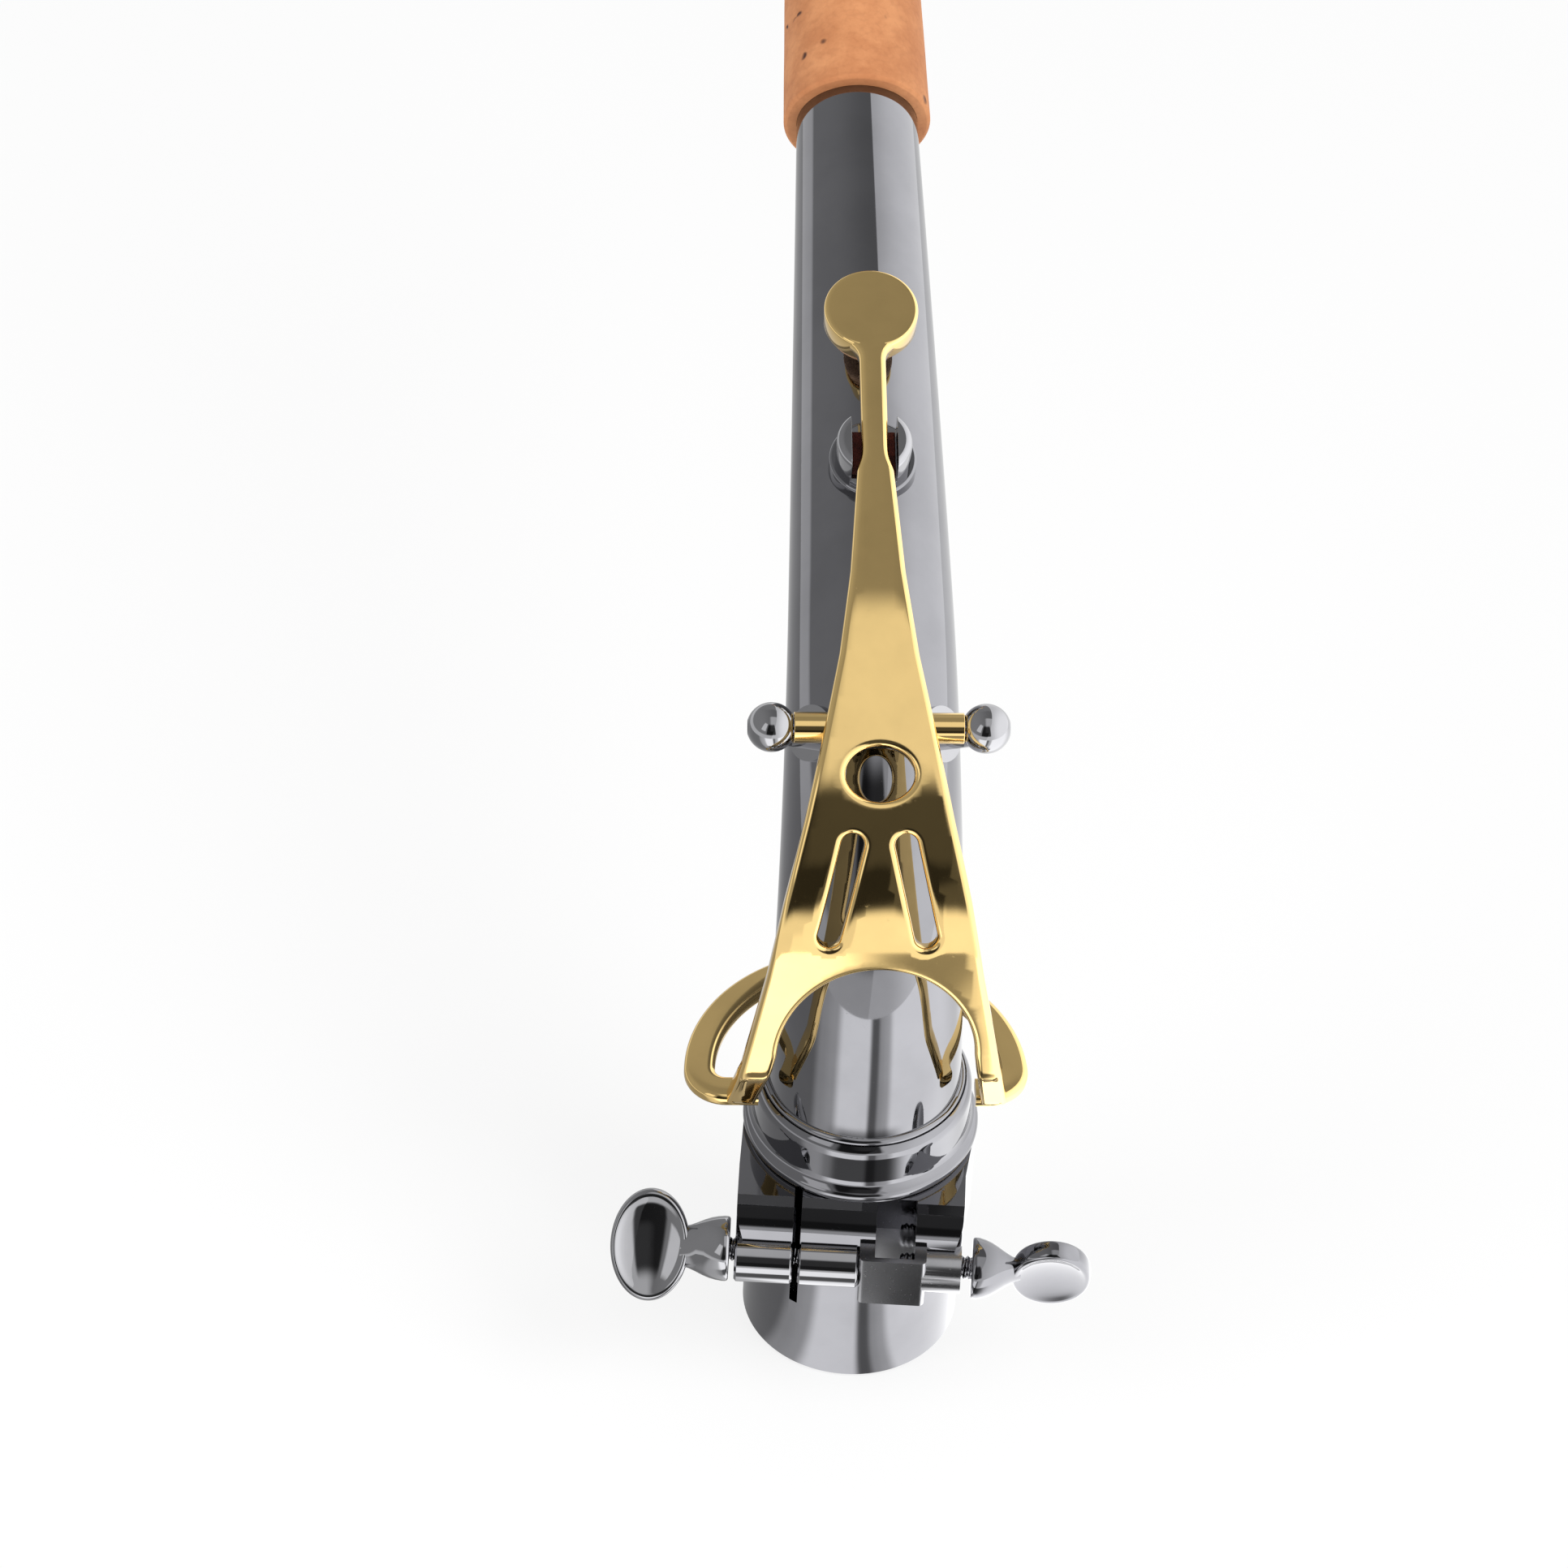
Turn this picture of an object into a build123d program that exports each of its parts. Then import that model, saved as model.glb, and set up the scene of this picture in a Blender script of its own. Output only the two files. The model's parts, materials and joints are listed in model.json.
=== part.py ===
from build123d import *
import math
import os

# Neck of an alto saxophone with its octave key, standing in the split clamp that
# holds it on the body. Millimetres and degrees. +Z runs up the tenon axis from the
# lower end of the receiver, and the neck curves away towards +Y.

# receiver and clamp
seat_height = 33.8          # top of the receiver, where the neck collar sits
joint_height = 43.0         # where the bent tube leaves the collar
flange_radius = 14.9
tenon_radius = 12.25
tenon_wall = 0.75
tenon_foot = 17.5
running_gap = 0.05
sleeve_radius = 13.8
socket_radius = 13.1        # the body tube is soldered in here
socket_depth = 11.0
band_radius = 14.7
clamp_turn = -4.0           # the clamp is turned a little against the neck
lug_reach = 16.5            # screw axis in front of the tenon axis
lug_height = 24.5
neck_screw_rise = 0.7       # the screw runs this far above and behind the barrels' own axis
lug_radius = 3.05
slot_width = 1.0
slot_side = -7.25
slot_foot = 11.5

# bent tube
bend_radius = 50.0
bend_angle = 72.0
tail_radius = 724.0
tail_angle = 6.0
base_radius = 12.3
end_radius = 7.8
tip_radius = 6.9
tube_wall = 0.8
cork_length = 42.0
tip_length = 3.0
cork_base_radius = 9.6
cork_lead = 1.8
cork_tip_radius = 8.4

# octave key
hinge_station = 44.4
hinge_lift = 13.8           # hinge axis above the tube's centre line
hinge_half_span = 13.1
hinge_tube_radius = 1.9
rod_radius = 0.95
ball_radius = 3.05
plate_thickness = 2.0
pad_station = 96.0
pad_top = 6.5               # top of the pad cup above the tube's surface
cup_radius = 5.9
cup_depth = 3.0
pip_rise = 1.5
guide_station = 77.0
guide_base_radius = 5.45
guide_cup_radius = 4.7
guide_top = 5.9
guide_slot = 5.7
arm_width = 3.3
ring_outer_radius = 21.6
ring_inner_radius = 17.7
ring_centre_y = -2.9
ring_side = -1.1            # the key sits a little to one side
ring_bottom = joint_height + 0.5
ring_top = joint_height + 2.5
look_tilt = 42.5            # tilt of the plane in which the key's outline is drawn

os.makedirs("parts", exist_ok=True)

bend_length = bend_radius * math.radians(bend_angle)
bent_length = bend_length + tail_radius * math.radians(tail_angle)
tip_station = bent_length + cork_length + tip_length


def centre_line(station):
    """Y, Z and lean in degrees of the tube's centre line, station mm past the collar."""
    first = min(station, bend_length) / bend_radius
    y = bend_radius * (1 - math.cos(first))
    z = joint_height + bend_radius * math.sin(first)
    lean = first
    if station > bend_length:
        lean = first + min(station - bend_length, bent_length - bend_length) / tail_radius
        y += tail_radius * (math.cos(first) - math.cos(lean))
        z += tail_radius * (math.sin(lean) - math.sin(first))
    if station > bent_length:
        y += (station - bent_length) * math.sin(lean)
        z += (station - bent_length) * math.cos(lean)
    return y, z, math.degrees(lean)


def tube_radius(station):
    if station <= bent_length:
        return base_radius + (end_radius - base_radius) * station / bent_length
    beyond = (station - bent_length) / (tip_station - bent_length)
    return end_radius + (tip_radius - end_radius) * beyond


def across(station):
    """Plane square to the tube, its normal pointing towards the tip."""
    y, z, lean = centre_line(station)
    lean = math.radians(lean)
    return Plane(origin=(0, y, z), x_dir=(1, 0, 0), z_dir=(0, math.sin(lean), math.cos(lean)))


def above(station, height, side=0.0):
    """Plane over the tube, its normal pointing away from the centre line, turned by side."""
    y, z, lean = centre_line(station)
    lean = math.radians(lean)
    side = math.radians(side)
    normal = Vector(math.sin(side), -math.cos(lean) * math.cos(side), math.sin(lean) * math.cos(side))
    along = Vector(0, math.sin(lean), math.cos(lean))
    return Plane(origin=Vector(0, y, z) + normal * height, x_dir=normal.cross(along) * -1, z_dir=normal)


clamp_frame = Plane(
    origin=(0, 0, 0),
    x_dir=(math.cos(math.radians(clamp_turn)), math.sin(math.radians(clamp_turn)), 0),
    z_dir=(0, 0, 1),
)


def clamp_level(height):
    """Horizontal plane of the turned clamp."""
    return Plane(origin=(0, 0, height), x_dir=clamp_frame.x_dir, z_dir=(0, 0, 1))


def clamp_axis(x, reach=lug_reach, rise=0.0):
    """Plane square to the clamp screws, its local X downwards and its normal along them."""
    place = clamp_frame.from_local_coords((x, -reach, lug_height + rise))
    return Plane(origin=place, x_dir=(0, 0, -1), z_dir=clamp_frame.x_dir)


def finish(builder, name):
    builder.part.label = name
    export_step(builder.part, "parts/" + name + ".step")


# ---- receiver ----
with BuildPart() as receiver_sleeve:
    with BuildSketch(Plane.XY):
        Circle(sleeve_radius)
        Circle(tenon_radius + running_gap, mode=Mode.SUBTRACT)
    extrude(amount=seat_height - 0.1)
    with BuildSketch(Plane.XY):
        Circle(socket_radius)
    extrude(amount=socket_depth, mode=Mode.SUBTRACT)
    with BuildSketch(clamp_level(slot_foot)):
        with Locations((slot_side, -sleeve_radius)):
            Rectangle(slot_width, sleeve_radius)
    extrude(amount=seat_height, mode=Mode.SUBTRACT)
    chamfer(receiver_sleeve.edges().group_by(Axis.Z)[0].sort_by(SortBy.LENGTH)[-1:], length=0.3)
finish(receiver_sleeve, "receiver_sleeve")

lyre_hole_side = 5.0
lyre_hole_x = 5.2
lyre_hole_y = -16.15
block_left, block_right = 0.8, 9.2
block_front = -19.4
block_bottom, block_top = 20.4, 28.2
boss_end = 13.6
left_lug_end = -14.9
right_lug_end = 0.7
neck_screw_reach = lug_reach - neck_screw_rise


def lug_profile():
    """Side outline of the clamp: a wall that sweeps out over the screw barrels."""
    with BuildSketch(Plane(origin=(0, 0, 0), x_dir=clamp_frame.y_dir, z_dir=clamp_frame.x_dir)) as side:
        with BuildLine():
            front = -lug_reach
            shoulder = (-14.2, seat_height - 2)
            Polyline((20, block_bottom), (20, seat_height), (-14.2, seat_height), shoulder)
            RadiusArc(shoulder, (front, lug_height + lug_radius), -6.6)
            Polyline((front, lug_height + lug_radius), (front, block_bottom), (20, block_bottom))
        make_face()
    return side.sketch


with BuildPart() as clamp_band:
    with BuildSketch(clamp_level(block_bottom)) as band_outline:
        Circle(band_radius)
        with BuildLine():
            Polyline((-14.7, 0), (-14.9, -9), (-14.9, -17), (13.6, -17), (13.6, -9), (14.7, 0), (-14.7, 0))
        make_face()
        fillet(band_outline.vertices().group_by(Axis.Y)[0], radius=2.4)
    extrude(amount=seat_height - 0.1 - block_bottom)
    extrude(lug_profile(), amount=30, both=True, mode=Mode.INTERSECT)
    with BuildSketch(Plane.XY):
        Circle(sleeve_radius)
    extrude(amount=seat_height, mode=Mode.SUBTRACT)
    with BuildSketch(clamp_axis(left_lug_end)):
        Circle(lug_radius)
    extrude(amount=boss_end - left_lug_end, mode=Mode.SUBTRACT)
    with BuildSketch(clamp_level(block_bottom)):
        with Locations(((block_left + block_right) / 2, block_front / 2 - sleeve_radius / 2)):
            Rectangle(block_right - block_left, sleeve_radius * 2 - 15)
    extrude(amount=block_top - block_bottom, mode=Mode.SUBTRACT)
    with BuildSketch(clamp_level(10)):
        with Locations((slot_side, -sleeve_radius - 2)):
            Rectangle(slot_width, sleeve_radius + 4)
        with Locations((lyre_hole_x, lyre_hole_y)):
            Rectangle(lyre_hole_side, lyre_hole_side)
    extrude(amount=seat_height, mode=Mode.SUBTRACT)
finish(clamp_band, "clamp_band")

for name, start, end, bore in (
    ("left_barrel", left_lug_end, slot_side - 0.35, 1.75),
    ("right_barrel", slot_side + 0.35, right_lug_end, 1.6),
):
    with BuildPart() as barrel:
        with BuildSketch(clamp_axis(start)):
            Circle(lug_radius)
        extrude(amount=end - start)
        chamfer(barrel.edges().filter_by(GeomType.CIRCLE), length=0.3)
        with BuildSketch(clamp_axis(start, neck_screw_reach, neck_screw_rise)):
            Circle(bore)
        extrude(amount=end - start, mode=Mode.SUBTRACT)
        with BuildSketch(Plane.XY):
            Circle(sleeve_radius)
        extrude(amount=seat_height, mode=Mode.SUBTRACT)
    finish(barrel, name)

lyre_screw_reach = -lyre_hole_y
with BuildPart() as lyre_block:
    with BuildSketch(clamp_level(block_bottom)):
        with Locations(((block_left + block_right) / 2, (block_front - 11) / 2)):
            Rectangle(block_right - block_left, -block_front - 11)
    extrude(amount=block_top - block_bottom)
    fillet(lyre_block.edges().filter_by(Axis.Z), radius=0.7)
    with BuildSketch(clamp_axis(block_right - 0.5)):
        Circle(lug_radius)
    extrude(amount=boss_end - block_right + 0.5)
    with BuildSketch(Plane.XY):
        Circle(sleeve_radius)
    extrude(amount=seat_height, mode=Mode.SUBTRACT)
    with BuildSketch(clamp_level(0)):
        with Locations((lyre_hole_x, lyre_hole_y)):
            Rectangle(lyre_hole_side, lyre_hole_side)
    extrude(amount=seat_height, mode=Mode.SUBTRACT)
    with BuildSketch(clamp_axis(lyre_hole_x, lyre_screw_reach)):
        Circle(1.75)
    extrude(amount=20, mode=Mode.SUBTRACT)
finish(lyre_block, "lyre_block")

# ---- thumbscrews ----
paddle_length = 9.6
paddle_width = 14.2
paddle_thickness = 2.6
dish_depth = 0.6
bell_length = 5.2
# the bell's sections: distance along it, then half width and half depth as shares of its base radius
bell_sections = ((0.6, 1.0, 1.0), (2.4, 0.93, 0.86), (4.2, 0.75, 0.55), (5.8, 0.63, 0.30))
screw_radius = 1.55
screw_hold = 3.0            # how far the shaft is held in its head


def thumb_head(name, base, outward, reach, rise, face_tilt, base_radius_mm):
    """Bell and dished oval paddle. base is where the bell starts, outward is +1 or -1 along the clamp."""
    root = clamp_frame.from_local_coords((base, -reach, lug_height + rise))
    along = clamp_frame.x_dir * outward
    tilt = math.radians(face_tilt)
    facing = clamp_frame.y_dir * -math.cos(tilt) + Vector(0, 0, 1) * math.sin(tilt)
    centre = root + along * (bell_length + paddle_length / 2)
    with BuildPart() as head:
        for distance, half_width, half_depth in bell_sections:
            section = Plane(origin=root + along * distance, x_dir=facing, z_dir=along)
            with BuildSketch(section):
                Ellipse(base_radius_mm * half_depth, base_radius_mm * half_width)
        loft()
        with BuildSketch(Plane(origin=root, x_dir=facing, z_dir=along)):
            Circle(base_radius_mm)
        extrude(amount=0.6)
        with BuildSketch(Plane(origin=centre - facing * (paddle_thickness / 2),
                               x_dir=clamp_frame.x_dir, z_dir=facing)):
            Ellipse(paddle_length / 2 + 0.2, paddle_width / 2)
        extrude(amount=paddle_thickness)
        for side in (1, -1):
            dish_floor = centre + facing * (side * (paddle_thickness / 2 - dish_depth))
            with BuildSketch(Plane(origin=dish_floor, x_dir=clamp_frame.x_dir, z_dir=facing * side)):
                Ellipse(paddle_length / 2 - 1.2, paddle_width / 2 - 1.4)
            extrude(amount=2 * dish_depth, taper=-20, mode=Mode.SUBTRACT)
        with BuildSketch(Plane(origin=root, x_dir=facing, z_dir=along)):
            Circle(screw_radius)
        extrude(amount=screw_hold, mode=Mode.SUBTRACT)
    finish(head, name)


def screw_shaft(name, start, end, reach, rise):
    with BuildPart() as shaft:
        with BuildSketch(clamp_axis(min(start, end), reach, rise)):
            Circle(screw_radius)
        extrude(amount=abs(end - start))
        chamfer(shaft.edges().filter_by(GeomType.CIRCLE), length=0.3)
    finish(shaft, name)


neck_screw_base = left_lug_end - 0.7
lyre_screw_base = boss_end + 1.4
thumb_head("neck_screw_head", neck_screw_base, -1, neck_screw_reach, neck_screw_rise, 42, 4.1)
screw_shaft("neck_screw_shaft", neck_screw_base - screw_hold, right_lug_end - 0.4,
            neck_screw_reach, neck_screw_rise)
thumb_head("lyre_screw_head", lyre_screw_base, 1, lyre_screw_reach, 0, -17, 3.9)
lyre_screw_point = lyre_hole_x + lyre_hole_side / 2 + 0.3
screw_shaft("lyre_screw_shaft", lyre_screw_point, lyre_screw_base + screw_hold, lyre_screw_reach, 0)

# ---- neck ----
with BuildPart() as neck_tenon:
    with BuildSketch(Plane.XY.offset(tenon_foot)):
        Circle(tenon_radius)
        Circle(tenon_radius - tenon_wall, mode=Mode.SUBTRACT)
    extrude(amount=joint_height - tenon_foot)
    chamfer(neck_tenon.edges().group_by(Axis.Z)[0].sort_by(SortBy.RADIUS)[-1:], length=0.3)
finish(neck_tenon, "neck_tenon")

with BuildPart() as neck_collar:
    with BuildSketch(Plane.XZ):
        with BuildLine():
            inside = tenon_radius
            foot = seat_height
            rim = flange_radius
            wall = rim - 1.1
            top = joint_height
            Line((inside, foot), (rim - 0.25, foot))
            ThreePointArc((rim - 0.25, foot), (rim, foot + 0.7), (rim - 0.3, foot + 1.4))
            ThreePointArc((rim - 0.3, foot + 1.4), (wall + 0.25, foot + 2.0), (wall, foot + 3.0))
            Line((wall, foot + 3.0), (wall, top - 2.6))
            ThreePointArc((wall, top - 2.6), (wall - 0.25, top - 1.4), (13.05, top - 0.75))
            Line((13.05, top - 0.75), (12.85, top - 0.9))
            ThreePointArc((12.85, top - 0.9), (12.7, top - 0.25), (inside, top))
            Line((inside, top), (inside, foot))
        make_face()
    revolve(axis=Axis.Z)
finish(neck_collar, "neck_collar")


def bent_run(start, end, inset):
    """One arc of the tapering tube between two stations, as a solid."""
    with BuildPart() as run:
        with BuildLine(Plane.YZ):
            first, last = centre_line(start), centre_line(end)
            ThreePointArc(first[:2], centre_line((start + end) / 2)[:2], last[:2])
        for station in (start, end):
            with BuildSketch(across(station)):
                Circle(tube_radius(station) - inset)
        sweep(multisection=True)
    return run.part


def straight_run(start, end, inset):
    with BuildPart() as run:
        for station in (start, end):
            with BuildSketch(across(station)):
                Circle(tube_radius(station) - inset)
        loft()
    return run.part


def whole_run(inset):
    """The tube from collar to tip as one solid, its radius smaller by inset."""
    arcs = bent_run(0, bend_length, inset) + bent_run(bend_length, bent_length, inset)
    return arcs + straight_run(bent_length, tip_station, inset)


tube_solid = whole_run(0)
tube_hollow = whole_run(tube_wall)

with BuildPart() as neck_tube:
    add(tube_solid)
    add(tube_hollow, mode=Mode.SUBTRACT)
    with BuildSketch(above(pad_station, 0)):
        Circle(1.5)
    extrude(amount=20, mode=Mode.SUBTRACT)
finish(neck_tube, "neck_tube")

with BuildPart() as neck_cork:
    with BuildSketch(across(bent_length - cork_lead)):
        Circle(cork_base_radius)
    with BuildSketch(across(bent_length + cork_length)):
        Circle(cork_tip_radius)
    loft()
    chamfer(neck_cork.edges().filter_by(GeomType.CIRCLE), length=0.5)
    add(tube_solid, mode=Mode.SUBTRACT)
finish(neck_cork, "neck_cork")

with BuildPart() as tip_ring:
    with BuildSketch(across(tip_station - tip_length + 1.0)):
        Circle(tube_radius(tip_station) + 0.55)
    extrude(amount=tip_length - 1.0)
    add(tube_solid, mode=Mode.SUBTRACT)
finish(tip_ring, "tip_ring")

pad_surface = tube_radius(pad_station)
with BuildPart() as octave_pip:
    with BuildSketch(above(pad_station, pad_surface - 2.6)):
        Circle(1.5)
    extrude(amount=2.6)
    with BuildSketch(above(pad_station, pad_surface - 0.5)):
        Circle(3.4)
    extrude(amount=1.1)
    add(tube_solid, mode=Mode.SUBTRACT)
    with BuildSketch(above(pad_station, pad_surface - 2.6)):
        Circle(1.5)
    extrude(amount=2.6 + pip_rise)
    with BuildSketch(above(pad_station, pad_surface - 2.6)):
        Circle(0.75)
    extrude(amount=10, mode=Mode.SUBTRACT)
finish(octave_pip, "octave_pip")

guide_surface = tube_radius(guide_station)
with BuildPart() as guide_base:
    with BuildSketch(above(guide_station, guide_surface - 2.0)):
        Circle(guide_base_radius)
    extrude(amount=3.4)
    add(tube_solid, mode=Mode.SUBTRACT)
    chamfer(guide_base.faces().sort_by(Axis.Z)[-1].edges(), length=0.25)
finish(guide_base, "guide_base")

with BuildPart() as guide_cup:
    with BuildSketch(above(guide_station, guide_surface + 1.4)):
        Circle(guide_cup_radius)
    extrude(amount=guide_top - 1.4)
    fillet(guide_cup.edges().filter_by(GeomType.CIRCLE).sort_by(Axis.Z)[-1:], radius=1.0)
    with BuildSketch(above(guide_station, guide_surface + 1.9)):
        Rectangle(guide_slot, 12)
    extrude(amount=8, mode=Mode.SUBTRACT)
finish(guide_cup, "guide_cup")

with BuildPart() as guide_felt:
    with BuildSketch(above(guide_station, guide_surface + 1.9)):
        Rectangle(guide_slot - 0.1, 6)
    extrude(amount=1.0)
finish(guide_felt, "guide_felt")

# ---- hinge posts ----
hinge_y, hinge_z, hinge_lean = centre_line(hinge_station)
lean_angle = math.radians(hinge_lean)
axis_y = hinge_y - hinge_lift * math.cos(lean_angle)
axis_z = hinge_z + hinge_lift * math.sin(lean_angle)
post_side = math.degrees(math.atan2(hinge_half_span, hinge_lift))
post_length = math.hypot(hinge_half_span, hinge_lift)
post_surface = tube_radius(hinge_station)

hinge_plane = Plane(origin=(0, axis_y, axis_z), x_dir=(0, 1, 0), z_dir=(1, 0, 0))
with BuildPart() as left_post:
    with BuildSketch(above(hinge_station, post_surface - 1.5, -post_side)):
        Circle(3.5)
    extrude(amount=2.5)
    with BuildSketch(above(hinge_station, post_surface, -post_side)):
        Circle(2.0)
    extrude(amount=post_length - post_surface)
    add(tube_solid, mode=Mode.SUBTRACT)
    with Locations((-hinge_half_span, axis_y, axis_z)):
        Sphere(ball_radius)
    with BuildSketch(hinge_plane.offset(-hinge_half_span + 2.6)):
        Circle(3.0)
    extrude(amount=6, mode=Mode.SUBTRACT)
    with BuildSketch(hinge_plane):
        Circle(rod_radius)
    extrude(amount=-30, mode=Mode.SUBTRACT)
finish(left_post, "left_post")

with BuildPart() as right_post:
    mirror(left_post.part, about=Plane.YZ)
finish(right_post, "right_post")

with BuildPart() as hinge_rod:
    with BuildSketch(hinge_plane.offset(-hinge_half_span - 2.7)):
        Circle(rod_radius)
    extrude(amount=2 * hinge_half_span + 5.4)
    with BuildSketch(hinge_plane.offset(hinge_half_span + 2.7)):
        Rectangle(3, 0.4)
    extrude(amount=-0.5, mode=Mode.SUBTRACT)
finish(hinge_rod, "hinge_rod")

# ---- octave key ----
with BuildPart() as hinge_tube:
    with BuildSketch(hinge_plane.offset(-hinge_half_span + 2.7)):
        Circle(hinge_tube_radius)
        Circle(rod_radius + running_gap, mode=Mode.SUBTRACT)
    extrude(amount=2 * hinge_half_span - 5.4)
finish(hinge_tube, "hinge_tube")

cup_plane = above(pad_station, pad_surface + pad_top - cup_depth)
stub_length = 9.0
with BuildPart() as pad_cup:
    with BuildSketch(above(pad_station, pad_surface + pad_top - plate_thickness)) as cup_outline:
        Circle(cup_radius)
        with Locations((0, -stub_length / 2)):
            Rectangle(arm_width, stub_length)
        fillet(cup_outline.vertices().group_by(Axis.Y)[1], radius=3.0)
    extrude(amount=plate_thickness)
    with BuildSketch(cup_plane):
        Circle(cup_radius)
    extrude(amount=cup_depth)
    with BuildSketch(cup_plane):
        Circle(cup_radius - 0.6)
    extrude(amount=1.6, mode=Mode.SUBTRACT)
finish(pad_cup, "pad_cup")

with BuildPart() as octave_pad:
    with BuildSketch(above(pad_station, pad_surface + pip_rise)):
        Circle(cup_radius - 0.65)
    extrude(amount=pad_top - cup_depth + 1.6 - pip_rise)
    fillet(octave_pad.edges().filter_by(GeomType.CIRCLE).sort_by(Axis.Z)[:1], radius=0.6)
finish(octave_pad, "octave_pad")

pad_y, pad_z, pad_lean = centre_line(pad_station)
pad_lean = math.radians(pad_lean)
reach = pad_surface + pad_top
stub_y = pad_y - reach * math.cos(pad_lean) - stub_length * math.sin(pad_lean)
stub_z = pad_z + reach * math.sin(pad_lean) - stub_length * math.cos(pad_lean)
run_start = Vector(0, stub_y, stub_z)
run_out = run_start - Vector(0, math.sin(pad_lean), math.cos(pad_lean)) * 50
leg_top = (-11.9, joint_height + 10.0)
leg_toe = (-8.6, joint_height + 1.6)

with BuildLine() as key_line:
    over = Bezier((run_start.Y, run_start.Z), (run_out.Y, run_out.Z), (leg_top[0], leg_top[1] + 35), leg_top)


def under(share, depth=plate_thickness):
    """Point below the key's outer line, as local Y and Z."""
    along = over % share
    return over @ share + Vector(-along.Y, along.X) * depth


toe_along = (Vector(*leg_toe) - Vector(*leg_top)).normalized()
toe_inside = Vector(*leg_toe) + Vector(-toe_along.Y, toe_along.X) * plate_thickness
with BuildSketch(Plane.YZ) as key_profile:
    with BuildLine():
        add(over)
        Line(over @ 1, leg_toe)
        Line(leg_toe, toe_inside)
        Line(toe_inside, under(1))
        Spline(*[under(step / 8) for step in range(8, -1, -1)])
        Line(under(0), over @ 0)
    make_face()

arch_side = 0.5
arch_half_width = 12.2
outline_plane = Plane(
    origin=(0, 0, joint_height),
    x_dir=(1, 0, 0),
    z_dir=(0, -math.cos(math.radians(look_tilt)), math.sin(math.radians(look_tilt))),
)
stub_level = outline_plane.to_local_coords(Vector(0, stub_y, stub_z)).Y
half_outline = (
    (arm_width / 2, stub_level + 3),
    (arm_width / 2, 77.0),
    (2.2, 75.5),
    (3.4, 62.4),
    (4.9, 52.2),
    (7.0, 42.1),
    (9.1, 32.0),
    (11.4, 21.8),
    (13.3, 12.0),
    (16.2, -0.6),
    (18.2, -7.0),
)

with BuildPart() as key_plate:
    extrude(key_profile.sketch, amount=20, both=True)
    with BuildSketch(outline_plane) as front_outline:
        with BuildLine():
            right_side = Polyline(*half_outline)
            mirror(right_side, about=Plane.YZ)
            Line(half_outline[0], (-half_outline[0][0], half_outline[0][1]))
            Line(half_outline[-1], (-half_outline[-1][0], half_outline[-1][1]))
        make_face()
        with Locations((arch_side, 1.8)):
            Ellipse(arch_half_width, 11.5, mode=Mode.SUBTRACT)
        with BuildLine():
            left, right = arch_side - arch_half_width, arch_side + arch_half_width
            Polyline((left, 2.2), (left - 2.2, -8), (right + 1.6, -8), (right, 2.2), (left, 2.2))
        make_face(mode=Mode.SUBTRACT)
        with Locations((0, 37.6)):
            Ellipse(4.2, 3.4, mode=Mode.SUBTRACT)
        for side in (-1, 1):
            with Locations(Location((side * 4.6, 23.2), (0, 0, side * 13))):
                SlotOverall(14.5, 2.8, rotation=90, mode=Mode.SUBTRACT)
    extrude(amount=80, both=True, mode=Mode.INTERSECT)
    with BuildSketch(Plane.YZ.offset(-hinge_half_span + 2.7)):
        with Locations((axis_y, axis_z)):
            Circle(hinge_tube_radius)
    extrude(amount=2 * hinge_half_span - 5.4, mode=Mode.SUBTRACT)
    with BuildSketch(Plane.XY.offset(ring_top)):
        Rectangle(60, 60)
    extrude(amount=-10, mode=Mode.SUBTRACT)
finish(key_plate, "key_plate")

ring_front = -7.6
ring_ends = ((-15.9, 5.6), (15.5, 4.6))    # middle and width of the lands under the legs
with BuildPart() as key_ring:
    with BuildSketch(Plane.XY.offset(ring_bottom)) as ring_outline:
        with Locations((ring_side, ring_centre_y)):
            Circle(ring_outer_radius)
            Circle(ring_inner_radius, mode=Mode.SUBTRACT)
        with Locations((0, ring_front - 15)):
            Rectangle(60, 30, mode=Mode.SUBTRACT)
        for middle, width in ring_ends:
            with Locations((middle, ring_front + 1.7)):
                Rectangle(width, 3.4)
        front_corners = ring_outline.vertices().group_by(Axis.Y)[0].sort_by(Axis.X)
        fillet([front_corners[0], front_corners[-1]], radius=3.2)
    extrude(amount=ring_top - ring_bottom)
finish(key_ring, "key_ring")

# flat closing spring under the plate, its free end resting on the tube
spring_thickness = 0.4
spring_width = 3.0
spring_root = 0.60
spring_drop = ((0.60, 0.06), (0.65, 0.06), (0.71, 0.3), (0.77, 0.9), (0.82, 1.4))
spring_upper = [under(share, plate_thickness + drop) for share, drop in spring_drop]
spring_lower = [under(share, plate_thickness + drop + spring_thickness) for share, drop in spring_drop]
root_along = over % spring_root
root_inward = Vector(-root_along.Y, root_along.X)
with BuildPart() as key_spring:
    with BuildSketch(Plane.YZ):
        with BuildLine():
            Spline(*spring_upper)
            Line(spring_upper[-1], spring_lower[-1])
            Spline(*reversed(spring_lower))
            Line(spring_lower[0], spring_upper[0])
        make_face()
    extrude(amount=spring_width / 2, both=True)
finish(key_spring, "key_spring")

screw_seat = spring_lower[0] + root_along * 1.8 + root_inward * 0.12
screw_plane = Plane(
    origin=(0, screw_seat.X, screw_seat.Y),
    x_dir=(1, 0, 0),
    z_dir=(0, root_inward.X, root_inward.Y),
)
with BuildPart() as spring_screw:
    with BuildSketch(screw_plane):
        Circle(1.3)
    extrude(amount=0.7)
    with BuildSketch(screw_plane.offset(0.7)):
        Rectangle(3, 0.4)
    extrude(amount=-0.35, mode=Mode.SUBTRACT)
finish(spring_screw, "spring_screw")
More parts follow.
